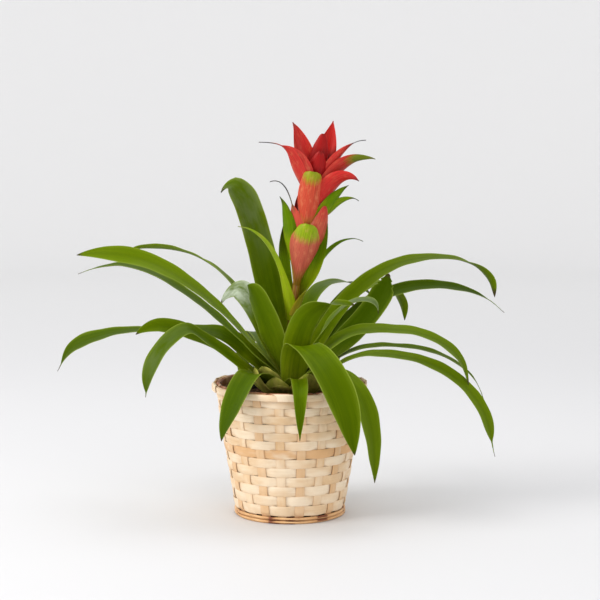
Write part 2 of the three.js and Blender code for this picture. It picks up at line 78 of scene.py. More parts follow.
# Leaves: ring and azimuth (degrees, 0 = +X, 270 = front) place the base on the crown, and swing is
# how far the leaf has turned sideways at its tip. Width is that of the blade laid flat. Apex and tip
# are (distance from the plant's axis, height); a leaf without a tip ends at its apex. Rise, lean,
# droop and curl are explained at arch. Roll turns the blade about its own line, at even steps from
# base to tip. Taper and thread are the parts of its length that narrow and that end as a thread; a
# smaller end rounds the tip, and torn notches it. Tone, bloom, age and wear are explained at
# blade; bloom is a reflection of the light painted into the colour.
LEAVES = [
    leaf("front_left", 0, 227, 10, 34, (66, 160), tip=(129, 100), droop=1.3, taper=0.5, tone=-1.0),
    leaf("front_small", 0, 282, -6, 18, (62, 156), tip=(104, 99), curl=2.5, taper=0.55, thread=0.02),
    leaf("front_right", 0, 310, 6, 27, (63, 163), tip=(124, 51), curl=2, taper=0.4),
    leaf("right_low", 0, 338, 22, 17, (95, 178), (10, 15, 22, 26, 28), tip=(224, 61), curl=1.6,
         taper=0.08, thread=0.06),
    leaf("left_bump", 1, 189, 1, 19, (141, 209), (0, -20, -50, -55), tip=(167, 200), rise=1.6,
         taper=0.22, tone=0.2),
    leaf("front_bent", 1, 281, 20, 35, (54, 190), tip=(131, 86), rise=3, droop=1.8, curl=1.5,
         taper=0.35, tone=-0.1),
    leaf("left_arch", 0, 204, 6, 22, (121, 209), (0, -35, -35, -25, -25, -35), tip=(173, 142),
         rise=1.2, droop=1.5, curl=1.8, taper=0.18, thread=0.02, tone=-0.4, bloom=0.05),
    leaf("right_thin", 1, 1, 4, 12, (105, 183), (10, 15, 10), tip=(217, 113), rise=2.6, curl=1.5,
         taper=0.2, thread=0.12),
    leaf("left_long", 2, 180, -15, 21, (95, 199), (0, -70, -25, 0, -15, -42, -40),
         tip=(271, 144), rise=2.2, droop=2.4, curl=1.6, taper=0.18, thread=0.03, tone=-0.5),
    leaf("right_torn", 2, 335, 22, 19, (105, 205), (10, 45, 22, 10, 6), tip=(194, 142), rise=3,
         curl=1.6, taper=0.25, tone=0.5),
    leaf("right_short", 2, 52, -17, 20, (122, 243), (0, 25, 10), tip=(158, 199), rise=1.8,
         curl=1.8, taper=0.16, tone=0.8),
    leaf("left_back", 2, 124, 21, 16, (205, 279), (0, 28, 34), tip=(240, 270), rise=2.4,
         taper=0.2, thread=0.04),
    leaf("left_channel", 3, 203, -18, 21, (183, 274), (0, -20, -30, -24, -6, 0),
         tip=(227, 264), rise=1.65, taper=0.2, thread=0.06, tone=-0.6),
    leaf("right_second", 3, 32, -20, 20, (165, 243), (0, 25, 25), tip=(243, 213), rise=2.2,
         curl=1.2, taper=0.2, thread=0.07, tone=-0.8),
    leaf("right_hooked", 3, 323, 16, 21, (88, 238), (0, 15, 35, 22, 12), tip=(101, 223), curl=2,
         taper=0.34, thread=0.03, tone=-0.5, bloom=0.16),
    leaf("left_upper", 4, 182, -10, 22, (200, 282), (0, -5, -18, -38, -60, -60),
         tip=(236, 279), taper=0.26, tone=0.6),
    leaf("right_front", 4, 280, 42, 31, (76, 236), (0, 0, 5, 20), tip=(87, 235), rise=2.6, taper=0.4),
    leaf("right_upper", 4, 40, -25, 18, (175, 273), (0, 60, 38, 20, 14, 5), tip=(236, 229),
         rise=2.2, curl=1.8, taper=0.1, tone=0.3),
    leaf("left_glossy", 4, 144, 4, 26, (66, 240), (0, -20, -45, -50), tip=(90, 223), rise=1.6,
         end=0.6, bloom=1.0),
    leaf("left_rounded", 5, 222, -32, 31, (46, 251), (0, 15, 20, 10, 0), rise=1.3, taper=0.16,
         end=0.5, wear=0.0, tone=-0.9),
    leaf("upright_tall", 5, 146, 8, 32, (70, 355), (-10, -35, -30), tip=(84, 347), rise=1.7,
         taper=0.16, end=0.6, tone=-0.1, bloom=0.08),
    leaf("right_dark", 5, 8, 3, 27, (110, 260), (0, 60, 60), rise=1, lean=1.6, taper=0.16,
         end=0.7, torn=0.3, tone=-1.0),
    leaf("right_grey", 5, 67, -21, 19, (92, 245), (0, 0, 10), tip=(131, 228), rise=3,
         taper=0.25, tone=-0.6, bloom=0.12),
    leaf("old_left", 1, 230, 0, 30, (44, 166), rise=1, lean=1.3, taper=0.4, end=0.6, wear=0.3, age=0.7),
    leaf("old_middle", 0, 255, 6, 25, (52, 148), rise=1, lean=1.4, taper=0.4, end=0.6, wear=0.3, age=0.9),
    leaf("back_middle", 1, 87, -4, 24, (95, 196), tip=(205, 112), thread=0.04),
    leaf("back_left", 0, 118, -10, 23, (98, 186), tip=(187, 105), thread=0.04),
    leaf("back_right", 0, 60, 8, 22, (86, 178), tip=(143, 132), thread=0.04),
]

OLD_BASES = 9


def old_base(number):
    """A short dry base of a fallen leaf, just above the soil; it is a detail of the crown."""
    every_second = number % 2
    every_third = number % 3
    return dict(name=f"crown_base_{number + 1}", node="crown", slot="crown_fibre", ring=-1,
                azimuth=10 + number * 360 / OLD_BASES, swing=6 * every_second,
                width=30 + 4 * every_third, apex=(45 + 2 * every_second, 156 + 4 * every_third),
                roll=(0, 14 - 14 * every_third), rise=0.9, lean=2.2, taper=0.5, end=0.6, wear=0.4,
                # tone 1.0 is painted light: it makes up for the shade the bases stand in under the leaves
                age=0.7, tone=1.0)


LEAVES += [old_base(number) for number in range(OLD_BASES)]

# The flower stem's line: upright from the top of the crown, then leaning to the right.
STEM = [(0, 0, 151), (0, 0, 190), (11, 0, 275), (28, 0, 370)]


def bract(name, height, azimuth, swing, palette, facing, apex, width, **shape):
    """A row of BRACTS; shape holds other values that arch and bract_shape take."""
    return dict(name="bract_" + name, height=height, azimuth=azimuth, swing=swing, palette=palette,
                facing=facing, apex=apex, width=width, **shape)


# Bracts: height and azimuth place the base on the stem. Palette names a row of BRACT_PALETTES. Facing
# is where the upper face looks once the bract has left the stem. Apex and tip are (distance from the
# stem's axis, rise above the base), along the leaning stem. Width is that of the bract laid flat: it
# grows from base until swell, narrows over taper to the part of it that blunt gives, and the last
# part of the length, thread, is a thread. Arc is how deep the bract is cupped.
BRACTS = [
    bract("stem_left", 212, 242, -46, "sheath", (0.2, 0.9, 0.4), (72, 103), 7, base=20, swell=0.5),
    bract("stem_right", 216, 350, 6, "leafy", (-0.35, -0.9, 0.1), (25, 108), 23, rise=1,
          lean=1.3, base=26, taper=0.4),
    bract("stem_back", 232, 148, 2, "green", (0.5, -0.85, 0), (26, 85), 16, rise=1, lean=2),
    bract("stem_thin", 228, 48, -30, "green", (-0.1, -0.55, 0.8), (60, 70), 10, tip=(70, 67),
          rise=1.9, taper=0.6, thread=0.04),
    bract("front_low", 250, 266, 14, "cup", (0, 1, 0), (18, 67), 40, rise=1, lean=1.4, base=10,
          swell=0.7, taper=0.36, blunt=0.48, arc=1.1),
    bract("left_green", 256, 205, -13, "leafy", (0.4, 0.9, 0), (33, 90), 19, rise=1.4),
    bract("back_low", 268, 88, 4, "salmon", (0, -1, 0), (20, 67), 27, rise=1, lean=1.3),
    bract("right_low", 270, 320, 12, "salmon", (-0.2, 0.95, 0), (20, 66), 24, rise=1, lean=1.7, blunt=0.2),
    bract("left_thin", 288, 208, -14, "thread", (0.3, 0.9, 0.2), (43, 75), 21, tip=(48, 74),
          rise=2.2, lean=1.1, taper=0.36, thread=0.42),
    bract("right_thin", 303, 2, -9, "blush", (-0.2, 0.8, 0.5), (44, 41), 13, tip=(52, 38),
          rise=1.9, taper=0.4, thread=0.06),
    bract("back_middle", 298, 104, 0, "deep", (0, -1, 0), (27, 64), 27, rise=1),
    bract("right_green", 308, 341, 9, "leafy", (-0.2, 0.9, 0.35), (38, 50), 15, rise=1.3),
    bract("front_middle", 306, 258, 2, "orange", (0, 1, 0), (18, 67), 30, rise=1, lean=1.7,
          swell=0.62, taper=0.34, blunt=0.72, arc=1.1),
    bract("right_dark", 322, 320, 20, "red", (-0.2, 0.9, 0.35), (38, 46), 25, tip=(50, 41),
          rise=2.2, taper=0.6),
    bract("back_high", 330, 94, 0, "deep", (0, -1, 0), (28, 66), 27, rise=1.1),
    bract("left_red", 334, 222, -34, "red_thread", (0.2, 0.85, 0.45), (68, 70), 26, rise=2.9,
          taper=0.38, thread=0.24),
    bract("right_tipped", 338, 339, 12, "red_green", (-0.1, 0.75, 0.6), (55, 49), 19,
          tip=(61, 48), rise=2.8),
    bract("front_cup", 346, 262, 10, "deep", (0, 1, 0), (11, 48), 28, rise=1, lean=1.5,
          taper=0.6, blunt=0.25),
    bract("right_slim", 352, 336, 18, "red_thread", (-0.2, 0.8, 0.5), (47, 54), 14, rise=2.3,
          taper=0.55, thread=0.14),
    bract("top_right", 358, 70, -12, "shaded_cup_red", (-0.1, -1, 0), (16, 68), 27, rise=1, lean=2.2, taper=0.6),
    bract("top_left", 362, 172, 6, "red", (0, -0.95, 0.2), (35, 63), 23, rise=1.2, taper=0.6),
    bract("bud", 371, 270, 0, "deep", (0, 1, 0), (6, 43), 22, rise=1, lean=1.5, taper=0.6, blunt=0.25),
]

# ---------------- colours and material nodes

GREEN_SHEEN = (214, 240, 96)  # the colour of highlights on leaves and green bracts
RED_SHEEN = (255, 206, 196)


def srgb(red, green, blue):
    """A display colour, 0 to 255, as the linear colour that a shader takes."""
    def linear(value):
        value /= 255
        return value / 12.92 if value <= 0.04045 else ((value + 0.055) / 1.055) ** 2.4
    return (linear(red), linear(green), linear(blue), 1.0)


class Nodes:
    """A material's node tree, with a short way to add each kind of node that is used here.

    Wherever a colour is given, three numbers are a display colour and four a linear one.
    """

    def __init__(self, name, **shader_inputs):
        self.material = bpy.data.materials.new(name)
        self.material.use_nodes = True
        self.tree = self.material.node_tree
        self.shader = self.tree.nodes["Principled BSDF"]
        for socket, value in shader_inputs.items():
            self.feed(self.shader.inputs[socket.replace("_", " ")], value)

    def add(self, kind, inputs=None, **settings):
        made = self.tree.nodes.new(kind)
        for key, value in settings.items():
            setattr(made, key, value)
        for socket, value in (inputs or {}).items():
            self.feed(made.inputs[socket], value)
        return made

    def feed(self, socket, value):
        """Links the socket to another node's output, or sets it to a value."""
        if isinstance(value, bpy.types.NodeSocket):
            self.tree.links.new(value, socket)
        elif socket.type == "RGBA" and len(value) == 3:
            socket.default_value = srgb(*value)
        else:
            socket.default_value = value

    def values(self, *names):
        """What the mesh's points hold under these names."""
        return [self.add("ShaderNodeAttribute", attribute_name=name).outputs["Fac"] for name in names]

    def coordinates(self, kind):
        return self.add("ShaderNodeTexCoord").outputs[kind]

    def math(self, operation, *values):
        made = self.add("ShaderNodeMath", operation=operation)
        for socket, value in zip(made.inputs, values):
            self.feed(socket, value)
        return made.outputs[0]

    def times(self, first, second):
        return self.math("MULTIPLY", first, second)

    def noise(self, vector, scale, detail=4.0, rough=0.6):
        inputs = {"Vector": vector, "Scale": scale, "Detail": detail, "Roughness": rough}
        return self.add("ShaderNodeTexNoise", inputs).outputs[0]

    def grain(self, vector, across, along, **noise_values):
        """Noise whose scale isn't the same across a blade or splint as along it."""
        stretch = {"Vector": vector, "Scale": (across, along, 1)}
        return self.noise(self.add("ShaderNodeMapping", stretch).outputs[0], 1.0, **noise_values)

    def ramp(self, factor, *stops):
        made = self.add("ShaderNodeValToRGB", {"Fac": factor})
        elements = made.color_ramp.elements
        while len(elements) < len(stops):
            elements.new(0.5)
        for element, (position, color) in zip(elements, stops):
            element.position = position
            element.color = srgb(*color)
        return made.outputs[0]

    def mix(self, factor, first, second, blend="MIX"):
        made = self.add("ShaderNodeMix", data_type="RGBA", blend_type=blend)
        self.feed(made.inputs["Factor"], factor)
        colors = [socket for socket in made.inputs if socket.type == "RGBA"]
        self.feed(colors[0], first)
        self.feed(colors[1], second)
        return next(socket for socket in made.outputs if socket.type == "RGBA")

    def layered(self, color, *layers):
        """A colour with others laid over it, each as (where, strength, colour).

        Where is a value, 0 to 1, or a value and the two limits between which it sets in.
        """
        for where, *limits, strength, over in layers:
            if limits:
                where = self.between(where, *limits)
            color = self.mix(self.times(where, strength), color, over)
        return color

    def between(self, value, low, high):
        """Runs from 0 at low to 1 at high, and stays there outside them."""
        inputs = {"Value": value, "From Min": low, "From Max": high}
        return self.add("ShaderNodeMapRange", inputs, interpolation_type="SMOOTHSTEP").outputs[0]

    def spread(self, value, low, high):
        """Runs from low where the value is 0 to high where it is 1."""
        return self.add("ShaderNodeMapRange", {"Value": value, "To Min": low, "To Max": high}).outputs[0]

    def bump(self, height, distance, strength):
        inputs = {"Height": height, "Distance": distance, "Strength": strength}
        return self.add("ShaderNodeBump", inputs).outputs[0]

    def finish(self, color, roughness, normal=None):
        self.feed(self.shader.inputs["Base Color"], color)
        self.feed(self.shader.inputs["Roughness"], roughness)
        if normal is not None:
            self.feed(self.shader.inputs["Normal"], normal)
        return self.material


# ---------------- curves and meshes

SPAN_POINTS = 24  # how many points of a spline lie between two of those that it runs through


def smoothstep(value, low, high):
    t = np.clip((value - low) / (high - low), 0, 1)
    return t * t * (3 - 2 * t)


def lerp(first, second, t):
    return first + (second - first) * t


def unit(vectors):
    return vectors / np.linalg.norm(vectors, axis=-1, keepdims=True)


def tangents(line):
    return unit(np.gradient(line, axis=0))


def circle(steps):
    """Angles all round, in radians from +X."""
    return np.linspace(0, 2 * math.pi, steps, endpoint=False)


def polar(angle, radius, height):
    """Points round the Z axis. Angle in radians from +X."""
    angle, radius, height = np.broadcast_arrays(angle, radius, height)
    return np.stack([radius * np.cos(angle), radius * np.sin(angle), height], axis=-1)


def direction(azimuth):
    """The level direction at an azimuth in degrees."""
    return polar(math.radians(azimuth), 1.0, 0.0)


def spline(points):
    """A centripetal Catmull-Rom curve through the points, densely sampled."""
    p = np.asarray(points, float)
    p = np.vstack([2 * p[0] - p[1], p, 2 * p[-1] - p[-2]])
    dense = []
    for p0, p1, p2, p3 in zip(p, p[1:], p[2:], p[3:]):
        t1 = np.linalg.norm(p1 - p0) ** 0.5
        t2 = t1 + np.linalg.norm(p2 - p1) ** 0.5
        t3 = t2 + np.linalg.norm(p3 - p2) ** 0.5
        t = np.linspace(t1, t2, SPAN_POINTS, endpoint=False)[:, None]
        middle = (t - t1) / (t2 - t1)
        a1 = lerp(p0, p1, t / t1)
        a2 = lerp(p1, p2, middle)
        a3 = lerp(p2, p3, (t - t2) / (t3 - t2))
        b1 = lerp(a1, a2, t / t2)
        b2 = lerp(a2, a3, (t - t1) / (t3 - t1))
        dense.append(lerp(b1, b2, middle))
    return np.vstack([*dense, p[-2:-1]])


def evenly(dense, steps):
    """Steps + 1 points at even distances along a densely sampled curve, and its length."""
    spans = np.linalg.norm(np.diff(dense, axis=0), axis=1)
    run = np.concatenate([[0], np.cumsum(spans)])
    wanted = np.linspace(0, run[-1], steps + 1)
    points = np.stack([np.interp(wanted, run, column) for column in dense.T], axis=-1)
    return points, run[-1]


def add_object(name, data):
    """A new object in the scene."""
    made = bpy.data.objects.new(name, data)
    bpy.context.scene.collection.objects.link(made)
    return made


def mesh_object(name, points, faces, material, uv=None, values=None, crease_degrees=50):
    """A smooth-shaded mesh piece. Points in metres; uv and values are given per point."""
    mesh = bpy.data.meshes.new(name)
    mesh.from_pydata(np.reshape(points, (-1, 3)).tolist(), [], faces)
    mesh.shade_smooth()
    mesh.set_sharp_from_angle(angle=math.radians(crease_degrees))
    if uv is not None:
        loops = np.empty(len(mesh.loops), dtype=np.int64)
        mesh.loops.foreach_get("vertex_index", loops)
        layer = mesh.uv_layers.new(name="surface")
        layer.data.foreach_set("uv", np.reshape(uv, (-1, 2))[loops].astype(np.float32).ravel())
    for key, data in (values or {}).items():
        attribute = mesh.attributes.new(key, "FLOAT", "POINT")
        attribute.data.foreach_set("value", np.full(len(mesh.vertices), np.ravel(data), dtype=np.float32))
    mesh.materials.append(material)
    return add_object(name, mesh)


def ring_faces(rings, size, closed=False):
    """Faces between successive rings of points, and from the last to the first if closed."""
    i = np.arange(rings if closed else rings - 1)[:, None]
    j = np.arange(size)[None, :]
    here = i * size
    ahead = (i + 1) % rings * size
    step = (j + 1) % size
    return np.stack([here + j, ahead + j, ahead + step, here + step], axis=-1).reshape(-1, 4).tolist()


def strip(top, bottom, closed=False):
    """Rings of points and faces of a strip, from the rows of points across its two faces."""
    points = np.concatenate([top, bottom[:, ::-1]], axis=1)
    rings, size = points.shape[:2]
    faces = ring_faces(rings, size, closed)
    if not closed:
        last = (rings - 1) * size
        for j in range(size // 2 - 1):
            k = size - 1 - j
            faces.append([j, j + 1, k - 1, k])
            faces.append([last + k, last + k - 1, last + j + 1, last + j])
    return points, faces


def place(piece, node):
    """Sets a finished piece in the frame: it rides on the one body and stands for a CAD node."""
    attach(piece, "root")
    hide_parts(node)


# ---------------- blades: leaves and bracts
# Functions below that take a whole row of LEAVES or BRACTS pass over what they don't use, as **_.

RISE_PLACES = np.array([0.15, 0.32, 0.5, 0.68, 0.84, 1])  # where an arch is sampled up to its apex
FALL_PLACES = np.array([0.25, 0.5, 0.75, 1])  # and from its apex to its tip
RIPPLE_PITCHES = [(9.0, 4.3), (10.0, 4.9)]  # of the waves on a blade's two edges, in mm per radian
GROOVE_DEPTH = 0.2  # the fine groove along the middle of a blade
GROOVE_WIDTH = 0.12  # as a part of half the blade's width
FADE = (1.1, 0.6)  # a blade's thickness at base and tip, as parts of its usual one


def arch(foot, apex, azimuth, swing, tip=None, rise=2, lean=1, droop=2, curl=1, **_):
    """Distance, height and angle along a blade that rises from its foot and droops to its tip.

    More rise steepens its start, more lean makes it stand away from its foot early, more droop
    keeps it level past the apex, and more curl turns its end down.
    """
    end = tip or apex
    distance = lerp(foot[0], apex[0], 1 - (1 - RISE_PLACES) ** lean)
    height = lerp(foot[1], apex[1], 1 - (1 - RISE_PLACES) ** rise)
    if tip:
        distance = np.append(distance, lerp(apex[0], tip[0], 1 - (1 - FALL_PLACES) ** curl))
        height = np.append(height, lerp(apex[1], tip[1], FALL_PLACES ** droop))
    reached = (distance - foot[0]) / (end[0] - foot[0])
    return distance, height, np.radians(azimuth + swing * reached)


def rolled_side(u, line, azimuth, roll):
    """Directions across a blade that faces the plant's axis, turned about its line by roll."""
    tangent = tangents(line)
    reference = direction(azimuth + 90)
    side = unit(reference - (tangent @ reference)[:, None] * tangent)
    turn = np.radians(np.interp(u, np.linspace(0, 1, len(roll)), roll))[:, None]
    return side * np.cos(turn) + np.cross(tangent, side) * np.sin(turn)


def facing_side(u, line, azimuth, facing):
    """Directions across a blade that faces the stem at its base and then turns to facing."""
    turn = smoothstep(u, 0.05, 0.55)[:, None]
    normal = lerp(-direction(azimuth), unit(np.array(facing, float)), turn)
    return unit(np.cross(normal, tangents(line)))


def blade(piece_name, material, centre, length, side, shape, across, seed, tone=None, bloom=0, age=0,
          wear=1, **_):
    """A thin closed blade along a line of points, side giving the direction across it at each.

    shape holds width, half arc of the channel, thickness and edge ripple at each point. Tone makes
    the blade darker (-1) or lighter (1), bloom lays pale patches of painted sheen (a reflection
    of the light painted into the colour) on its outer part, age makes it a tan that is made pale as
    painted light against the shade round the crown, and wear browns its tip.
    """
    width, arc, thickness, ripple = (part[:, None] for part in shape)
    u = np.linspace(0, 1, len(centre))[:, None]
    v = np.linspace(-1, 1, across + 1)
    run = u * length
    inward = np.cross(tangents(centre), side)
    random = np.random.default_rng(seed)
    phases = random.uniform(0, 2 * math.pi, (2, 2))
    half = width / 2
    radius = half / arc
    waves = [
        np.sin(run / pitch + phase[0]) + 0.6 * np.sin(run / fine_pitch + phase[1])
        for (pitch, fine_pitch), phase in zip(RIPPLE_PITCHES, phases)
    ]
    lift = ripple * np.where(v > 0, *waves) * np.abs(v) ** 3
    groove = -GROOVE_DEPTH * np.exp(-((v / GROOVE_WIDTH) ** 2)) * np.minimum(half / 6, 1)

    def surface(face):
        reach = radius - face * 0.5 * thickness * (1 - 0.6 * v * v)
        sideways = reach * np.sin(v * arc)
        rise = radius - reach * np.cos(v * arc) + lift + groove
        return centre[:, None] + side[:, None] * sideways[..., None] + inward[:, None] * rise[..., None]

    points, faces = strip(surface(1), surface(-1))
    every = np.ones(points.shape[:2])
    v_round = np.concatenate([v, v[::-1]])
    values = {
        "along": u * every,
        "across": v_round * every,
        "under": np.repeat([0.0, 1.0], len(v)) * every,
        "reach": run * MM * every,
        "tone": random.uniform(-1, 1) if tone is None else tone,
        "bloom": bloom,
        "age": age,
        "wear": wear,
    }
    uv = np.stack([v_round * half * MM, values["reach"]], axis=-1)
    return mesh_object(piece_name, points * MM, faces, material, uv, values)


LEAF_STEPS = 88
LEAF_ACROSS = 14
LEAF_THICKNESS = 1.0
LEAF_SHEATH_RISE = 5.0  # how far a leaf hugs the crown before it follows its arch
LEAF_THREAD_WIDTH = 2.2
LEAF_TIP_WIDTH = 0.5
LEAF_ARC = 0.38  # half the angle of the channel, in radians
LEAF_CLASP_ARC = 0.75
LEAF_RIPPLE = 0.35
LEAF_SEED = 100  # the first leaf's; each leaf has its own
TIP_FOLD = 0.45  # how much deeper the channel is at the tip
TIP_START = 0.86  # where along a leaf its tip starts to fold, or to be notched if it is torn
NOTCH_PITCH = 92  # radians along a leaf: how close together the notches of a torn tip are
SHEATH_LENGTH = 52.0  # a leaf's clasping base opens over this length


def leaf_shape(u, length, ring_radius, width, taper=0.3, thread=0.0, end=0.8, torn=0.0, **_):
    """Width, half arc, thickness and ripple along a leaf that clasps the crown."""
    run = u * length
    opening = smoothstep(run, 0, min(SHEATH_LENGTH, 0.5 * length))
    narrowing = np.sin(math.pi / 2 * np.clip((1 - u - thread) / taper, 0, 1)) ** end
    notches = np.sin(NOTCH_PITCH * u) ** 2 * smoothstep(u, TIP_START, 0.93)
    least = lerp(LEAF_TIP_WIDTH, LEAF_THREAD_WIDTH, smoothstep(1 - u, 0, thread + 0.02))
    width = lerp(2 * LEAF_CLASP_ARC * ring_radius, width, opening)
    width = np.maximum(width * narrowing * (1 - torn * notches), least)
    arc = lerp(LEAF_CLASP_ARC, LEAF_ARC, opening) + TIP_FOLD * smoothstep(u, TIP_START, 1)
    ripple = LEAF_RIPPLE * smoothstep(run, 20, 70) * smoothstep(1 - u, 0, 0.15)
    return width, arc, LEAF_THICKNESS * lerp(*FADE, u), ripple


def build_leaf(entry, material, seed):
    radius = CROWN_RING_RADIUS - entry["ring"] * CROWN_RING_PITCH
    step = CROWN_STEP + entry["ring"] * CROWN_RING_RISE
    outward = direction(entry["azimuth"])
    base = outward * radius + [0, 0, step + CLEARANCE]
    sheath = base + outward + [0, 0, LEAF_SHEATH_RISE]
    distance, height, angle = arch((radius, step), **entry)
    centre, length = evenly(spline([base, sheath, *polar(angle, distance, height)]), LEAF_STEPS)
    u = np.linspace(0, 1, LEAF_STEPS + 1)
    side = rolled_side(u, centre, entry["azimuth"], entry["roll"])
    shape = leaf_shape(u, length, radius, **entry)
    name = entry["name"]
    piece = blade(name + "_blade", material, centre, length, side, shape, LEAF_ACROSS, seed, **entry)
    place(piece, entry.get("node", name))


def leaf_material():
    nodes = Nodes("leaf", Specular_IOR_Level=0.12, Specular_Tint=GREEN_SHEEN)
    along, across, under, tone = nodes.values("along", "across", "under", "tone")
    bloom, age, wear, reach = nodes.values("bloom", "age", "wear", "reach")
    uv = nodes.coordinates("UV")
    veins = nodes.grain(uv, 1500, 14, detail=3)
    streaks = nodes.grain(uv, 420, 7)
    patches = nodes.grain(uv, 60, 26, detail=5)
    spots = nodes.between(nodes.grain(uv, 320, 300, detail=2), 0.74, 0.82)
    uneven = nodes.math("SUBTRACT", patches, 0.5)
    # colour from base to tip: the yellow-green base is partly the leaf's own colour and partly painted light
    # against the shade low in the rosette
    from_base = nodes.ramp(
        nodes.times(nodes.math("MULTIPLY_ADD", uneven, 0.1, reach), 4.0),
        (0.0, (168, 170, 44)), (0.15, (142, 158, 10)), (0.28, (104, 128, 4)),
        (0.45, (80, 100, 0)), (1.0, (72, 90, 0)),
    )
    outward = nodes.math("ABSOLUTE", across)
    # where the painted sheen lies: patches on the outer part of the leaf
    sheen_patches = nodes.times(nodes.between(along, 0.45, 0.8), nodes.between(patches, 0.34, 0.6))
    worn = nodes.between(nodes.math("MULTIPLY_ADD", uneven, 0.08, along), 0.968, 0.992)
    color = nodes.layered(
        from_base,
        (streaks, 0.35, 0.75, 0.6, (60, 86, 0)),
        (veins, 0.5, 0.8, 0.22, (118, 142, 10)),
        (nodes.math("MAXIMUM", tone, 0.0), 0.5, (124, 150, 16)),
        (nodes.math("MAXIMUM", nodes.times(tone, -1.0), 0.0), 0.65, (44, 70, 0)),
        # the lower face paler: partly its own colour, partly painted light against the shade it lies in
        (under, 0.35, (98, 120, 12)),
        (outward, 0.5, 0.05, 0.24, (56, 78, 0)),  # painted shade in the trough along the middle
        # painted light: the margins lighter, as if the channel's raised sides caught the light
        (outward, 0.6, 1.0, 0.24, (134, 154, 40)),
        (outward, 0.92, 0.995, 0.5, (160, 174, 76)),
        # painted sheen: pale patches that stand in for a reflection of the light
        (nodes.times(sheen_patches, bloom), 0.75, (206, 216, 196)),
        # the tan of old leaves, made paler as painted light against the shade round the crown
        (nodes.times(age, nodes.between(patches, 0.3, 0.62)), 1.0, (206, 190, 104)),
        (nodes.times(worn, wear), 1.0, (66, 56, 36)),
        (spots, 0.4, (80, 66, 24)),
    )
    roughness = nodes.math("MULTIPLY_ADD", under, 0.12, nodes.spread(streaks, 0.36, 0.54))
    relief = nodes.math("MULTIPLY_ADD", patches, 0.5, veins)
    return nodes.finish(color, roughness, nodes.bump(relief, 0.00025, 0.5))


# ---------------- flower spike

STEM_STEPS = 60
STEM_SIDES = 28
STEM_REACH = 2.0  # how far above and below a bract the two points are that give the stem's lean
BRACT_STEPS = 44
BRACT_ACROSS = 16
BRACT_THICKNESS = 0.8
BRACT_SHEATH_RISE = 4.0
BRACT_CLASP_WIDTH = 15.0  # of a bract's base, where its row gives none
BRACT_CLASP_ARC = 1.2
BRACT_THREAD_WIDTH = 2.2
BRACT_RIPPLE = 0.3
BRACT_SEED = 200  # the first bract's; each bract has its own
ROUND_END = 0.07  # the part of a blunt bract's length over which its corners are rounded
ROUND_END_WIDTH = 0.45  # and the part of its width that they leave at the very end

GREEN_PALETTES = ("sheath", "leafy", "green", "blush")
# Base, body, upper part and tip colours, where along the bract the upper part and the tip start, and
# how much of it is mottled.
BRACT_PALETTES = {
    "sheath": ((150, 172, 16), (146, 170, 24), (130, 156, 34), (110, 128, 52), 0.5, 0.92, 0.15),
    "leafy": ((164, 150, 40), (124, 148, 10), (88, 122, 4), (60, 72, 30), 0.5, 0.9, 0.05),
    "blush": ((204, 104, 72), (196, 84, 56), (108, 138, 8), (50, 56, 50), 0.4, 0.86, 0.15),
    "green": ((140, 152, 20), (106, 140, 6), (86, 118, 8), (56, 62, 50), 0.6, 0.86, 0.0),
    "cup": ((128, 96, 20), (186, 88, 68), (136, 164, 8), (118, 152, 4), 0.72, 0.99, 0.45),
    "orange": ((164, 130, 40), (198, 74, 50), (140, 150, 20), (116, 142, 10), 0.82, 0.99, 0.45),
    "salmon": ((190, 112, 68), (192, 84, 62), (190, 60, 48), (160, 50, 36), 0.8, 0.97, 0.45),
    "thread": ((200, 108, 76), (214, 84, 64), (88, 92, 54), (44, 52, 54), 0.5, 0.66, 0.15),
    # The red rows' darker bases are painted shade where the bracts crowd round the stem.
    "red": ((140, 10, 10), (190, 40, 36), (180, 42, 38), (50, 40, 44), 0.84, 0.93, 0.15),
    "red_thread": ((150, 16, 14), (194, 50, 44), (140, 34, 30), (42, 48, 54), 0.7, 0.78, 0.3),
    "red_green": ((150, 20, 16), (182, 48, 40), (100, 118, 12), (66, 76, 30), 0.66, 0.95, 0.15),
    # painted shade: the dark lower half stands in for the shade inside the cup
    "shaded_cup_red": ((76, 2, 4), (116, 4, 8), (196, 28, 24), (50, 40, 44), 0.5, 0.965, 0.0),
    # painted shade: a dark crimson for bracts deep in the cluster, where shade falls among them
    "deep": ((110, 4, 6), (140, 6, 10), (158, 12, 14), (130, 18, 18), 0.6, 0.95, 0.0),
}

stem_line, stem_length = evenly(spline(STEM), STEM_STEPS)


def stem_at(height):
    """The stem's centre and radius at a height."""
    u = np.interp(height, stem_line[:, 2], np.linspace(0, 1, STEM_STEPS + 1))
    centre = np.array([np.interp(height, stem_line[:, 2], column) for column in stem_line.T])
    return centre, lerp(STEM_RADIUS_LOW, STEM_RADIUS_TOP, u)


def bract_shape(u, width, base=None, swell=0.3, taper=0.5, blunt=0.0, thread=0.0, arc=0.85, **_):
    """Width, half arc, thickness and ripple along a bract that clasps the stem."""
    body = lerp(base or min(BRACT_CLASP_WIDTH, width), width, smoothstep(u, 0, swell))
    left = np.clip((1 - thread - u) / taper, 0, 1)
    body = body * lerp(blunt, 1, np.sin(math.pi / 2 * left))
    if blunt:
        corner = np.clip((1 - u) / ROUND_END, 0, 1)
        body = body * lerp(ROUND_END_WIDTH, 1, np.sqrt(1 - (1 - corner) ** 2))
    width = np.maximum(body, BRACT_THREAD_WIDTH * lerp(1, 0.4, u))
    arc = lerp(BRACT_CLASP_ARC, arc, smoothstep(u, 0, 0.35))
    ripple = BRACT_RIPPLE * smoothstep(u, 0.2, 0.6) * smoothstep(1 - u, 0, 0.2)
    return width, arc, BRACT_THICKNESS * lerp(*FADE, u), ripple


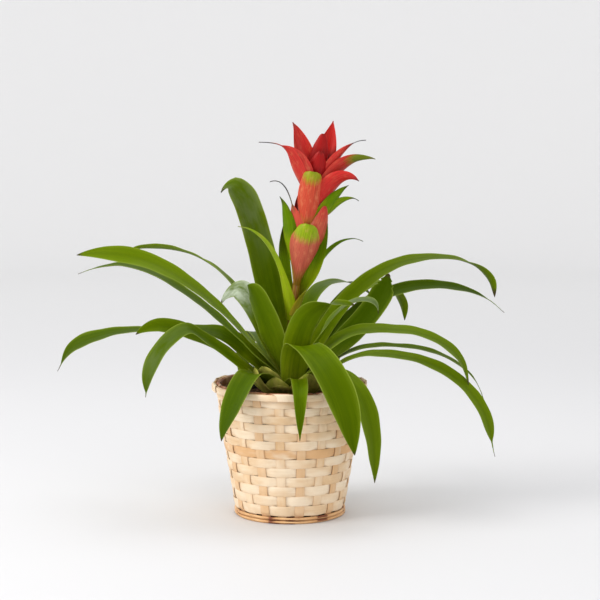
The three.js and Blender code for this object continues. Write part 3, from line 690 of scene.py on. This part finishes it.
def build_bract(entry, material, seed):
    height = entry["height"]
    outward = direction(entry["azimuth"])
    centre, radius = stem_at(height)
    axis = stem_at(height + STEM_REACH)[0] - stem_at(height - STEM_REACH)[0]
    reach = radius + CLEARANCE + BRACT_THICKNESS / 2
    base = centre + outward * reach
    sheath = stem_at(height + BRACT_SHEATH_RISE)[0] + outward * (reach + 1)
    distance, rise, angle = arch((reach, 0), **entry)
    line = centre + polar(angle, distance, 0) + rise[:, None] * axis / axis[2]
    line, length = evenly(spline([base, sheath, *line]), BRACT_STEPS)
    u = np.linspace(0, 1, BRACT_STEPS + 1)
    side = facing_side(u, line, entry["azimuth"], entry["facing"])
    shape = bract_shape(u, **entry)
    name = entry["name"]
    piece = blade(name + "_blade", material, line, length, side, shape, BRACT_ACROSS, seed)
    place(piece, name)


def bract_material(name, base, body, upper, tip, upper_from, tip_from, mottled):
    sheen = GREEN_SHEEN if name in GREEN_PALETTES else RED_SHEEN
    nodes = Nodes("bract_" + name, Specular_IOR_Level=0.3, Specular_Tint=sheen)
    along, across, under, tone = nodes.values("along", "across", "under", "tone")
    uv = nodes.coordinates("UV")
    veins = nodes.grain(uv, 1700, 30, detail=3)
    streaks = nodes.grain(uv, 520, 28)
    blotches = nodes.grain(uv, 170, 75)
    shift = nodes.math("MULTIPLY_ADD", nodes.math("SUBTRACT", streaks, 0.5), 0.16, along)
    shift = nodes.math("MULTIPLY_ADD", nodes.times(across, across), -0.1, shift)
    color = nodes.ramp(
        shift, (0.05, base), (0.3, body), (upper_from - 0.06, body), (upper_from + 0.07, upper),
        (tip_from - 0.04, upper), (tip_from + 0.04, tip),
    )
    dark = nodes.mix(1.0, color, (176, 168, 168), blend="MULTIPLY")
    color = nodes.layered(color, (veins, 0.42, 0.72, 0.7, dark))
    light = nodes.mix(1.0, color, (1.5, 1.35, 1.3, 1.0), blend="MULTIPLY")
    color = nodes.layered(
        color,
        (streaks, 0.52, 0.72, 0.55, light),
        (blotches, 0.48, 0.7, mottled, (218, 148, 100)),
        (nodes.math("MAXIMUM", tone, 0.0), 0.3, dark),
        (nodes.math("ABSOLUTE", across), 0.86, 0.98, 0.35, light),
        (under, 0.12, light),
    )
    return nodes.finish(color, nodes.spread(streaks, 0.3, 0.5), nodes.bump(veins, 0.0002, 0.6))


def build_stem(material):
    u = np.linspace(0, 1, STEM_STEPS + 1)[:, None]
    angle = circle(STEM_SIDES)
    ribs = 1 + 0.03 * np.cos(7 * angle + 9 * u)
    radius = lerp(STEM_RADIUS_LOW, STEM_RADIUS_TOP, u) * ribs
    points = stem_line[:, None] + polar(angle, radius, CLEARANCE)
    last = STEM_STEPS * STEM_SIDES
    faces = [face[::-1] for face in ring_faces(STEM_STEPS + 1, STEM_SIDES)]
    faces.append(list(reversed(range(STEM_SIDES))))
    faces.append([last + j for j in range(STEM_SIDES)])
    uv = np.stack(np.broadcast_arrays(angle * 4, u * stem_length), axis=-1)
    piece = mesh_object("flower_stem_stalk", points * MM, faces, material, uv * MM)
    place(piece, "flower_stem")


def stem_material():
    nodes = Nodes("stem")
    fibres = nodes.grain(nodes.coordinates("UV"), 900, 25)
    color = nodes.ramp(fibres, (0.3, (136, 60, 34)), (0.5, (150, 96, 34)), (0.7, (140, 150, 34)))
    return nodes.finish(color, 0.4, nodes.bump(fibres, 0.0003, 0.5))


# ---------------- basket

FRONT = -math.pi / 2
STAKES = 20
STAKE_WIDTH = 9.6
SPLINT = 0.9  # thickness of stakes and weavers
FIRST_ROW_STAKE = 10.0  # degrees from the front, to the right, of a stake outside the first row
WEAVER_SWING = 0.88  # how far a weaver moves in and out of the wall's middle surface
STAKE_SWING = 0.6  # and how far a stake does
STAKE_ENDS = (0.9, 142.0)
TURN_SHARPNESS = 1.6  # how sharply a weaver turns in and out between two stakes
ROWS = 13
ROWS_TOP = 136.6
ROWS_FOOT = 8.4
ROW_GROWTH = 0.15  # the top row is lower than the middle one by this part, the last row higher
ROW_EDGES = [  # heights of the edges between rows of weaving, from the rim down
    ROWS_TOP + (ROWS_FOOT - ROWS_TOP) * (row / ROWS) * (1 - ROW_GROWTH + ROW_GROWTH * row / ROWS)
    for row in range(ROWS + 1)
]
ROW_OVERLAP = 0.3  # how much wider a weaver is than its row
TAN_ROW = 6  # one weaver is darker than the others
# The wall's outer surface.
WALL_RADII = [57.6, 57.8, 61.5, 64.5, 68.5, 73.0, 76.5, 80.0, 81.0, 81.0]
WALL_HEIGHTS = [0.0, 6.0, 12.0, 30.0, 55.0, 80.0, 105.0, 130.0, 135.0, 142.0]
WALL_HALF = 2.0  # from the wall's outer to its middle surface
BOTTOM_PITCH = 10.4
BOTTOM_WIDTH = 9.4
BOTTOM_HEIGHT = 1.5
BOTTOM_SWING = 0.55
BOTTOM_LANES = 5  # either way from the middle
BOTTOM_INSET = 3.5  # the bottom ends this far inside the foot

# The rim: hoops, and stake ends folded over them.
HOOP_STEPS = 240
OUTER_HOOPS = [(82.0, -0.2), (83.1, 0.5)]  # radius and tone
OUTER_HOOP_DEPTH = 7.2
HOOP_DROP = 0.4  # the outer hoops end this far below the basket's top
INNER_HOOP_RADIUS = 76.6
INNER_HOOP_DEPTH = 8.2
INNER_HOOP_DROP = 4.6  # its middle is this far below the basket's top
FOLD_LEAN = 0.09  # how far a stake end that is folded outwards leans along the rim, in radians
FOLD_WIDTH = 21.0
OUTER_FOLD_RADII = [80.3, 80.6, 81.6, 83.0, 83.9, 84.2, 84.1]
OUTER_FOLD_HEIGHTS = [138.0, 142.6, 143.9, 144.2, 143.6, 142.0]
INNER_FOLD_RADII = [79.2, 79.0, 78.2, 76.8, 75.8, 75.5, 75.4]
INNER_FOLD_HEIGHTS = [138.0, 142.4, 143.9, 144.0, 143.0, 141.0, 137.2]

ROD_STEPS = 220
ROD_SIDES = 14
ROD_RING_RADIUS = FOOT_RADIUS + CLEARANCE + ROD_RADIUS
# Names of piece and node, and height.
RODS = [("foot_rod_cane", "basket_foot_rod", 1.9), ("foot_rod_upper_cane", "basket_foot_rod_upper", 5.6)]


def wall_radius(height):
    """The middle surface of the woven wall."""
    return np.interp(height, WALL_HEIGHTS, WALL_RADII) - WALL_HALF


def row_height(row):
    return (ROW_EDGES[row] + ROW_EDGES[row + 1]) / 2


def front_of_row(row):
    """Angle of a stake that passes outside this row; the rows alternate by one stake."""
    return math.radians(FIRST_ROW_STAKE + (row % 2) * 360 / STAKES) + FRONT


def wander(angle, size):
    """A slow random wander, up to size either way, that comes round in a full turn of angle."""
    phases = rng.uniform(0, 2 * math.pi, 3)
    waves = np.sin(np.multiply.outer(angle, [1, 3, 7]) + phases)
    return size * (waves * [0.5, 0.3, 0.2]).sum(axis=-1)


class Bundle:
    """Points, faces and values of several strips or chips that make up one piece."""

    def __init__(self):
        self.points = []
        self.faces = []
        self.uv = []
        self.values = {}
        self.count = 0

    def add(self, points, faces, uv, **values):
        self.points.append(points)
        self.faces += [[index + self.count for index in face] for face in faces]
        self.uv.append(uv)
        for key, value in values.items():
            self.values.setdefault(key, []).append(np.broadcast_to(value, len(points)))
        self.count += len(points)

    def build(self, name, material, node, crease_degrees=50):
        """Makes the piece and sets it in the frame."""
        values = {key: np.concatenate(parts) for key, parts in self.values.items()}
        points = np.vstack(self.points) * MM
        uv = np.vstack(self.uv) * MM
        place(mesh_object(name, points, self.faces, material, uv, values, crease_degrees), node)


def splint(bundle, centre, outward, width, row, stake, thickness=SPLINT, closed=False, crown=0.25,
           side=None, brown=0.0, tone=None, seed=None):
    """Adds a flat split-wood strip along a line.

    Outward is the direction its broad face looks, and side the direction of its width where that
    isn't square to the line. Crown is how far its face bulges. The rest is for its material: row
    and seed set its grain, stake is how much it has the colour of the stakes and their painted shadow
    along the edges, brown how much it is browned in patches, and tone makes it lighter. Tone and seed
    are random where they aren't given.
    """
    if closed:
        tangent = unit(np.roll(centre, -1, axis=0) - np.roll(centre, 1, axis=0))
    else:
        tangent = tangents(centre)
    if side is None:
        outward = unit(outward - (outward * tangent).sum(axis=1)[:, None] * tangent)
        side = np.cross(outward, tangent)
    if tone is None:
        tone = rng.uniform(-1, 1)
    if seed is None:
        seed = rng.uniform(0, 9)
    v = np.array([-1, -0.93, -0.55, 0, 0.55, 0.93, 1])
    width = np.broadcast_to(width, len(centre))[:, None]
    half_thickness = 0.5 * thickness * np.sqrt(np.maximum(1 - 0.75 * np.abs(v) ** 10, 0))
    middle = centre[:, None] + side[:, None] * (0.5 * width * v)[..., None]

    def surface(face):
        return middle + outward[:, None] * (crown * (1 - v * v) + face * half_thickness)[:, None]

    points, faces = strip(surface(1), surface(-1), closed)
    run = np.concatenate([[0], np.cumsum(np.linalg.norm(np.diff(centre, axis=0), axis=1))])
    v_round = np.concatenate([v, v[::-1]])
    uv = np.stack(np.broadcast_arrays(v_round * width / 2, run[:, None]), axis=-1)
    bundle.add(points.reshape(-1, 3), faces, uv.reshape(-1, 2), edge=np.tile(np.abs(v_round), len(centre)),
               row=row, stake=stake, brown=brown, tone=tone, seed=seed)


def fold(bundle, angle, radii, heights, lean, **splint_values):
    """A stake end bent over the rim; the strip's outer side is the one away from the rim."""
    t = np.linspace(0, 1, len(radii))
    fine = np.linspace(0, 1, 30)
    radius = np.interp(fine, t, radii)
    height = np.interp(fine, t, heights)
    centre = evenly(polar(angle + lean * fine, radius, height), 40)[0]
    bearing = np.arctan2(centre[:, 1], centre[:, 0])
    run_out = np.gradient(np.hypot(centre[:, 0], centre[:, 1]))
    run_up = np.gradient(centre[:, 2])
    over = 1 if radii[-1] > radii[0] else -1
    outward = unit(polar(bearing, -over * run_up, over * run_out))
    side = over * polar(bearing - math.pi / 2, 1.0, 0.0)
    splint(bundle, centre, outward, thickness=0.6, crown=0.1, side=side, **splint_values)


def build_weavers(material):
    angle = circle(STAKES * 14)
    bundle = Bundle()
    for row in range(ROWS):
        height = row_height(row) + wander(angle, 0.45)
        swing = np.cos(STAKES / 2 * (angle - front_of_row(row)))
        swing = -np.tanh(TURN_SHARPNESS * swing) / math.tanh(TURN_SHARPNESS)
        swell = 1 + wander(5 * angle, 0.22)
        radius = wall_radius(height) + WEAVER_SWING * swing * swell
        slope = (wall_radius(height + 3) - wall_radius(height - 3)) / 6
        width = ROW_EDGES[row] - ROW_EDGES[row + 1] + ROW_OVERLAP + wander(2 * angle, 0.35)
        splint(bundle, polar(angle, radius, height), polar(angle, 1.0, -slope), width, row=row,
               stake=0.0, closed=True, crown=0.28)
    bundle.build("basket_weavers", material, "basket_wall")


def build_stakes(material):
    bundle = Bundle()
    heights = np.linspace(*STAKE_ENDS, 160)
    # Each stake passes outside every other row, and bends on as if there were one more at each end.
    middles = [148, *(row_height(row) for row in range(ROWS)), -4]
    for stake in range(STAKES):
        angle = front_of_row(0) + stake * 2 * math.pi / STAKES
        sides = [1 if (row + stake) % 2 == 0 else -1 for row in range(-1, ROWS + 1)]
        swing = np.sin(np.interp(heights, middles[::-1], sides[::-1]) * math.pi / 2)
        drift = wander(heights / 30, 0.5) * MM
        centre = polar(angle + drift, wall_radius(heights) + STAKE_SWING * swing, heights)
        outward = polar(np.full_like(heights, angle), 1.0, -0.15)
        width = STAKE_WIDTH + wander(heights / 40, 0.5)
        splint(bundle, centre, outward, width, row=stake, stake=0.25 if stake % 2 else 1.0)
    bundle.build("basket_stakes", material, "basket_wall")


def build_bottom(material):
    """The plain-woven bottom: splints both ways, each as long as the chord of the foot."""
    bundle = Bundle()
    reach = FOOT_RADIUS - BOTTOM_INSET
    for lane in range(-BOTTOM_LANES, BOTTOM_LANES + 1):
        offset = lane * BOTTOM_PITCH
        half = math.sqrt(reach * reach - offset * offset)
        run = np.linspace(-half, half, 60)
        fixed = np.full_like(run, offset)
        for crosswise in (False, True):
            height = BOTTOM_HEIGHT + BOTTOM_SWING * np.cos(math.pi * (run / BOTTOM_PITCH + lane + crosswise))
            centre = np.stack([fixed, run, height] if crosswise else [run, fixed, height], axis=-1)
            outward = np.broadcast_to([0.0, 0.0, 1.0], centre.shape)
            splint(bundle, centre, outward, BOTTOM_WIDTH, row=lane, stake=0.5, thickness=0.8, crown=0.0)
    bundle.build("basket_bottom", material, "basket_wall")


def build_rim_outer(material):
    """The outer hoops and the stake ends that fold over them and are tucked down outside."""
    around = circle(HOOP_STEPS)
    middle = BASKET_HEIGHT - HOOP_DROP - OUTER_HOOP_DEPTH / 2
    bundle = Bundle()
    for layer, (radius, tone) in enumerate(OUTER_HOOPS):
        height = middle + wander(around, 0.3) - 0.25 * layer
        centre = polar(around, radius + wander(4 * around, 0.2), height)
        splint(bundle, centre, polar(around, 1.0, -0.05), OUTER_HOOP_DEPTH - 0.5, row=20 + layer,
               stake=0.0, thickness=0.8, closed=True, crown=0.35, tone=tone)
    for stake in range(0, STAKES, 2):
        angle = front_of_row(1) + stake * 2 * math.pi / STAKES
        end = BASKET_HEIGHT - rng.uniform(6.6, 7.6)
        lean = FOLD_LEAN * rng.uniform(0.4, 1.4)
        width = FOLD_WIDTH + rng.uniform(-1.5, 1.5)
        fold(bundle, angle, OUTER_FOLD_RADII, [*OUTER_FOLD_HEIGHTS, end], lean, width=width,
             row=40 + stake, stake=0.1)
    bundle.build("basket_rim_outer_band", material, "basket_rim_outer")


def build_rim_inner(material):
    """The inner hoop with the stake ends folded in over it."""
    around = circle(HOOP_STEPS)
    bundle = Bundle()
    height = BASKET_HEIGHT - INNER_HOOP_DROP + wander(around, 0.3)
    centre = polar(around, INNER_HOOP_RADIUS + wander(5 * around, 0.25), height)
    splint(bundle, centre, polar(around, -1.0, 0.0), INNER_HOOP_DEPTH, row=30, stake=0.8,
           thickness=1.1, closed=True, crown=0.3, brown=1.0, tone=-0.8, seed=1.0)
    for stake in range(STAKES):
        angle = front_of_row(0) + stake * 2 * math.pi / STAKES
        fold(bundle, angle, INNER_FOLD_RADII, INNER_FOLD_HEIGHTS, 0.02, width=FOLD_WIDTH,
             row=60 + stake, stake=0.9, brown=1.0)
    bundle.build("basket_rim_inner_band", material, "basket_rim_inner")


def splint_material():
    nodes = Nodes("splint", Specular_IOR_Level=0.35)
    tone, stake, row, seed, edge, brown = nodes.values("tone", "stake", "row", "seed", "edge", "brown")
    shift = nodes.add("ShaderNodeCombineXYZ", {"X": seed, "Y": seed, "Z": row}).outputs[0]
    inputs = {0: nodes.coordinates("UV"), 1: shift}
    spot = nodes.add("ShaderNodeVectorMath", inputs, operation="ADD").outputs[0]
    grain = nodes.grain(spot, 2600, 22, rough=0.65)
    bands = nodes.grain(spot, 700, 9, detail=3)
    patches = nodes.grain(spot, 40, 16, detail=3)
    tan = nodes.times(nodes.math("COMPARE", row, TAN_ROW, 0.1), nodes.math("SUBTRACT", 1.0, stake))
    # painted shadow along the stakes' edges, in patches
    stake_edge_shadow = nodes.times(nodes.between(edge, 0.9, 0.96), nodes.between(patches, 0.5, 0.58))
    stake_edge_shadow = nodes.times(stake_edge_shadow, stake)
    color = nodes.layered(
        (246, 225, 195),
        (patches, 0.36, 0.66, 1.0, (227, 190, 143)),
        (tone, -1.0, 1.0, 0.3, (250, 236, 214)),
        (stake, 0.62, (220, 172, 118)),
        (nodes.times(tan, nodes.between(patches, 0.32, 0.52)), 0.8, (222, 170, 112)),
        (grain, 0.48, 0.78, 0.45, (205, 160, 108)),
        (bands, 0.56, 0.8, 0.45, (214, 172, 122)),
        # painted shade: the edges of every splint browner, as the thin shadow lines between rows and strips
        (edge, 0.88, 1.0, 0.2, (196, 140, 88)),
        (stake_edge_shadow, 0.7, (140, 94, 60)),
        (nodes.times(stake_edge_shadow, nodes.between(bands, 0.56, 0.64)), 1.0, (66, 42, 26)),  # painted shadow, darkest, in streaks along the stakes' edges
        (nodes.times(brown, nodes.between(patches, 0.25, 0.55)), 1.0, (164, 102, 68)),
    )
    relief = nodes.math("MULTIPLY_ADD", bands, 0.6, grain)
    return nodes.finish(color, nodes.spread(bands, 0.42, 0.62), nodes.bump(relief, 0.00022, 0.6))


def build_rod(name, node, height, material):
    """A cane rod bound round the foot: a long closed ring, a little uneven."""
    angle = circle(ROD_STEPS)
    around = circle(ROD_SIDES)
    thick = ROD_RADIUS * (1 + wander(6 * angle, 0.07))
    ring = ROD_RING_RADIUS + wander(3 * angle, 0.25)
    lift = np.maximum(height + wander(2 * angle, 0.1), thick + 0.05)
    reach = ring[:, None] + thick[:, None] * np.cos(around)
    level = lift[:, None] + thick[:, None] * np.sin(around)
    points = polar(angle[:, None], reach, level)
    faces = ring_faces(ROD_STEPS, ROD_SIDES, closed=True)
    uv = np.stack(np.broadcast_arrays(around * ROD_RADIUS, angle[:, None] * ROD_RING_RADIUS), axis=-1)
    place(mesh_object(name, points * MM, faces, material, uv * MM), node)


def cane_material():
    nodes = Nodes("cane", Specular_IOR_Level=0.4)
    uv = nodes.coordinates("UV")
    fibres = nodes.grain(uv, 1500, 16)
    stretch = nodes.grain(uv, 60, 30, detail=3)
    dark_streaks = nodes.grain(uv, 420, 20, detail=3)
    color = nodes.layered(
        (236, 192, 138),
        (stretch, 0.38, 0.62, 1.0, (212, 160, 106)),
        (stretch, 0.56, 0.62, 1.0, (128, 70, 42)),
        (fibres, 0.5, 0.75, 0.5, (150, 92, 50)),
        # thin dark streaks along the rod
        (dark_streaks, 0.56, 0.64, 1.0, (118, 62, 38)),
    )
    return nodes.finish(color, 0.45, nodes.bump(fibres, 0.0003, 0.6))


# ---------------- pot, soil and crown

TURNED_SIDES = 96
TURNED_STEP = 4.0  # about how far apart the points of a turned solid are along its profile

# Profiles are (radius, height), from the axis below to the axis above.
POT_PROFILE = [(0, 3.8), (50, 3.8), (68.8, 117.6), (72.6, 119), (73.4, 131), (71.8, 131),
               (71, 120.2), (67.2, 118.6), (48.6, 5.6), (0, 5.6)]
SOIL_SURFACE = [(70.5, 125), (45, 127.5), (26, SOIL_TOP), (17, SOIL_TOP)]
SOIL_PROFILE = [(0, 6), (48, 6), (66.6, 117.5), (67, 119.2), (70.5, 121.2), *SOIL_SURFACE, (17, 115),
                (0, 115)]
CROWN_ROOT_RADIUS = 16.7
CROWN_ROOT_BOTTOM = 115.3
CROWN_ROOT_TOP = 131.0

CHIP_COUNT = 320
CHIP_TILT = 0.3  # radians, the spread of how far chips tilt
CHIP_RING = (24.0, 69.0)  # the chips lie between these radii
CHIP_REACH = 67.0  # and those nearest the pot are pushed in to this one
CHIP_SMALLEST = (1.4, 0.9, 0.4)  # half length, width and height
CHIP_LARGEST = (5.0, 2.6, 1.3)


def softened(profile, rounding):
    """The profile with rounded corners, without its two ends on the axis."""
    outline = []
    for before, corner, after in zip(profile, profile[1:], profile[2:]):
        back = before - corner
        ahead = after - corner
        cut = min(rounding, np.linalg.norm(back) / 3, np.linalg.norm(ahead) / 3)
        start = corner + unit(back) * cut
        end = corner + unit(ahead) * cut
        outline += [start, (start + 2 * corner + end) / 4, end]
    fine = []
    for start, end in zip(outline, outline[1:]):
        pieces = max(1, int(np.linalg.norm(end - start) / TURNED_STEP))
        fine += [lerp(start, end, k / pieces) for k in range(pieces)]
    return np.array([*fine, outline[-1]])


def turned(name, profile, material, relief=0.0, relief_from=0.0, rounding=1.2):
    """A turned solid from its profile, with softened corners.

    Relief is how far the surface is uneven above the height relief_from.
    """
    profile = np.array(profile, float)
    fine = softened(profile, rounding)
    angle = circle(TURNED_SIDES)
    radius, height = (column[:, None] + 0 * angle for column in fine.T)
    if relief:
        bumps = rng.normal(size=radius.shape)
        bumps = (bumps + np.roll(bumps, 1, 0) + np.roll(bumps, 1, 1) + np.roll(bumps, -1, 1)) / 2
        height = height + relief * bumps * smoothstep(height, relief_from, relief_from + 3)
    start = [0, 0, profile[0, 1]]
    end = [0, 0, profile[-1, 1]]
    points = np.vstack([polar(angle, radius, height).reshape(-1, 3), start, end])
    count = len(fine)
    first = count * TURNED_SIDES
    top = first - TURNED_SIDES
    faces = [face[::-1] for face in ring_faces(count, TURNED_SIDES)]
    for j in range(TURNED_SIDES):
        k = (j + 1) % TURNED_SIDES
        faces.append([first, k, j])
        faces.append([first + 1, top + j, top + k])
    return mesh_object(name, points * MM, faces, material)


def build_pot(material):
    place(turned("grow_pot_shell", POT_PROFILE, material), "grow_pot")


def build_soil(material):
    place(turned("soil_bed", SOIL_PROFILE, material, relief=0.5, relief_from=118), "soil")


def rotation(angle, first, second):
    """The matrix that turns the axis with number first towards the one with number second."""
    matrix = np.eye(3)
    matrix[first, first] = matrix[second, second] = math.cos(angle)
    matrix[second, first] = math.sin(angle)
    matrix[first, second] = -math.sin(angle)
    return matrix


def build_chips(material):
    """Loose bark and coir pieces lying on the soil."""
    bundle = Bundle()
    corners = np.array([[x, y, z] for z in (-1, 1) for y in (-1, 1) for x in (-1, 1)], float)
    quads = [[0, 2, 3, 1], [4, 5, 7, 6], [0, 1, 5, 4], [2, 6, 7, 3], [0, 4, 6, 2], [1, 3, 7, 5]]
    soil_radii, soil_heights = zip(*sorted(SOIL_SURFACE))
    for _ in range(CHIP_COUNT):
        radius = math.sqrt(rng.uniform(*np.square(CHIP_RING)))
        angle = rng.uniform(0, 2 * math.pi)
        size = rng.uniform(CHIP_SMALLEST, CHIP_LARGEST)
        body = corners * size * rng.uniform(0.72, 1.0, (8, 3))
        spin = rotation(rng.uniform(0, 2 * math.pi), 0, 1)
        lean = rotation(rng.normal(0, CHIP_TILT), 1, 2)
        ground = np.interp(radius, soil_radii, soil_heights)
        centre = polar(angle, min(radius, CHIP_REACH), ground + size[2] * 0.8)
        bundle.add(body @ lean.T @ spin.T + centre, quads, corners[:, :2], tone=rng.uniform(-1, 1))
    bundle.build("soil_chips", material, "soil", crease_degrees=20)


def build_crown(material):
    """The short stem that carries the leaves: a root end in the soil, and a step for each ring."""
    outer = CROWN_RING_RADIUS + CROWN_RING_PITCH / 2
    profile = [(0, CROWN_ROOT_BOTTOM), (CROWN_ROOT_RADIUS, CROWN_ROOT_BOTTOM),
               (CROWN_ROOT_RADIUS, CROWN_ROOT_TOP), (outer, CROWN_ROOT_TOP)]
    for ring in range(CROWN_RINGS):
        level = CROWN_STEP + ring * CROWN_RING_RISE
        profile += [(outer - ring * CROWN_RING_PITCH, level), (outer - (ring + 1) * CROWN_RING_PITCH, level)]
    top = CROWN_STEP + CROWN_RINGS * CROWN_RING_RISE
    profile += [(outer - CROWN_RINGS * CROWN_RING_PITCH, top), (0, top)]
    place(turned("crown_stump", profile, material, relief=0.1, rounding=0.5), "crown")


def grainy_material(name, dark, light, roughness, size, depth):
    """A rough mottled surface: potting mix, fibrous stump or moulded plastic."""
    nodes = Nodes(name, Specular_IOR_Level=0.3)
    grains = nodes.noise(nodes.coordinates("Object"), 1 / size, detail=8, rough=0.7)
    tone = nodes.values("tone")[0]
    color = nodes.layered(
        dark,
        (grains, 0.35, 0.7, 1.0, light),
        (tone, -0.2, 1.0, 0.5, light),
    )
    return nodes.finish(color, roughness, nodes.bump(grains, depth, 0.8))


# ---------------- stage, metres

CAMERA_PLACE = (0.011, -2.003, 0.483)
CAMERA_PITCH = 7.1  # degrees below level
CAMERA_LENS = 112.0
CAMERA_SENSOR = 36.0
WORLD_STRENGTH = 0.7
LIGHT_TARGET = (0, 0, 0.2)
LIGHTS = [  # name, place, size, power and colour
    ("key", (-2.1, -0.9, 1.6), 1.2, 42, (1.0, 0.985, 0.96)),
    ("top", (0.1, 0.3, 2.1), 1.4, 13, (1.0, 1.0, 1.0)),
    ("fill", (1.3, -2.1, 1.2), 1.5, 10.5, (1.0, 0.98, 0.95)),
]
FLOOR_RADIUS = 2.4
FLOOR_BEND = 0.8  # the floor curves up with this radius
FLOOR_SIDES = 128
WALL_TOP = 1.0


def build_camera():
    data = bpy.data.cameras.new("camera")
    data.lens = CAMERA_LENS
    data.sensor_width = CAMERA_SENSOR
    data.clip_end = 50
    camera = add_object("camera", data)
    camera.location = CAMERA_PLACE
    camera.rotation_euler = (math.radians(90 - CAMERA_PITCH), 0, 0)
    bpy.context.scene.camera = camera


def area_light(name, location, size, power, color):
    """A square light that looks at the plant and can't be seen itself."""
    data = bpy.data.lights.new(name, "AREA")
    data.shape = "SQUARE"
    data.size = size
    data.energy = power
    data.color = color
    light = add_object(name, data)
    light.location = location
    x, y, z = unit(np.array(LIGHT_TARGET) - np.array(location))
    light.rotation_euler = (math.acos(-z), 0.0, math.atan2(-x, y))
    light.visible_camera = False


def build_lights():
    scene = bpy.context.scene
    scene.view_settings.view_transform = "Standard"
    world = bpy.data.worlds.new("studio")
    world.use_nodes = True
    background = world.node_tree.nodes["Background"]
    background.inputs["Color"].default_value = (1.0, 1.0, 1.0, 1)
    background.inputs["Strength"].default_value = WORLD_STRENGTH
    scene.world = world
    for light in LIGHTS:
        area_light(*light)


def build_stage():
    """A pale round floor that curves up into a low wall all round, so it is behind every view."""
    bend = np.linspace(0, math.pi / 2, 16)
    edge = FLOOR_RADIUS + FLOOR_BEND
    radius = np.concatenate([[0.3, 1.0], FLOOR_RADIUS + FLOOR_BEND * np.sin(bend), [edge]])
    height = np.concatenate([[0, 0], FLOOR_BEND * (1 - np.cos(bend)), [WALL_TOP]])
    points = polar(circle(FLOOR_SIDES), radius[:, None], height[:, None])
    faces = [*ring_faces(len(radius), FLOOR_SIDES), list(range(FLOOR_SIDES))]
    nodes = Nodes("floor", Specular_IOR_Level=0.2)
    inputs = {0: nodes.coordinates("Object")}
    distance = nodes.add("ShaderNodeVectorMath", inputs, operation="LENGTH").outputs["Value"]
    # painted light: paler further from the plant, making up for the lamps' falloff on the far floor and wall
    color = nodes.mix(nodes.between(distance, 0.9, FLOOR_RADIUS), (222, 222, 224), (239, 239, 240))
    mesh_object("floor", points, faces, nodes.finish(color, 0.6))


# ---------------- assembly

build_camera()
build_stage()
build_lights()

leaf_surface = leaf_material()
for number, entry in enumerate(LEAVES):
    build_leaf(entry, leaf_surface, LEAF_SEED + number)

bract_surfaces = {name: bract_material(name, *palette) for name, palette in BRACT_PALETTES.items()}
for number, entry in enumerate(BRACTS):
    build_bract(entry, bract_surfaces[entry["palette"]], BRACT_SEED + number)
build_stem(stem_material())

splint_surface = splint_material()
build_weavers(splint_surface)
build_stakes(splint_surface)
build_bottom(splint_surface)
build_rim_outer(splint_surface)
build_rim_inner(splint_surface)
cane = cane_material()
for name, node, height in RODS:
    build_rod(name, node, height, cane)

build_pot(grainy_material("pot_plastic", (38, 34, 32), (58, 52, 48), 0.5, 0.0006, 0.0001))
earth = grainy_material("soil_mix", (38, 24, 14), (104, 72, 44), 0.95, 0.0016, 0.0012)
build_soil(earth)
build_chips(earth)
build_crown(grainy_material("crown_fibre", (92, 84, 30), (150, 152, 56), 0.7, 0.003, 0.0004))
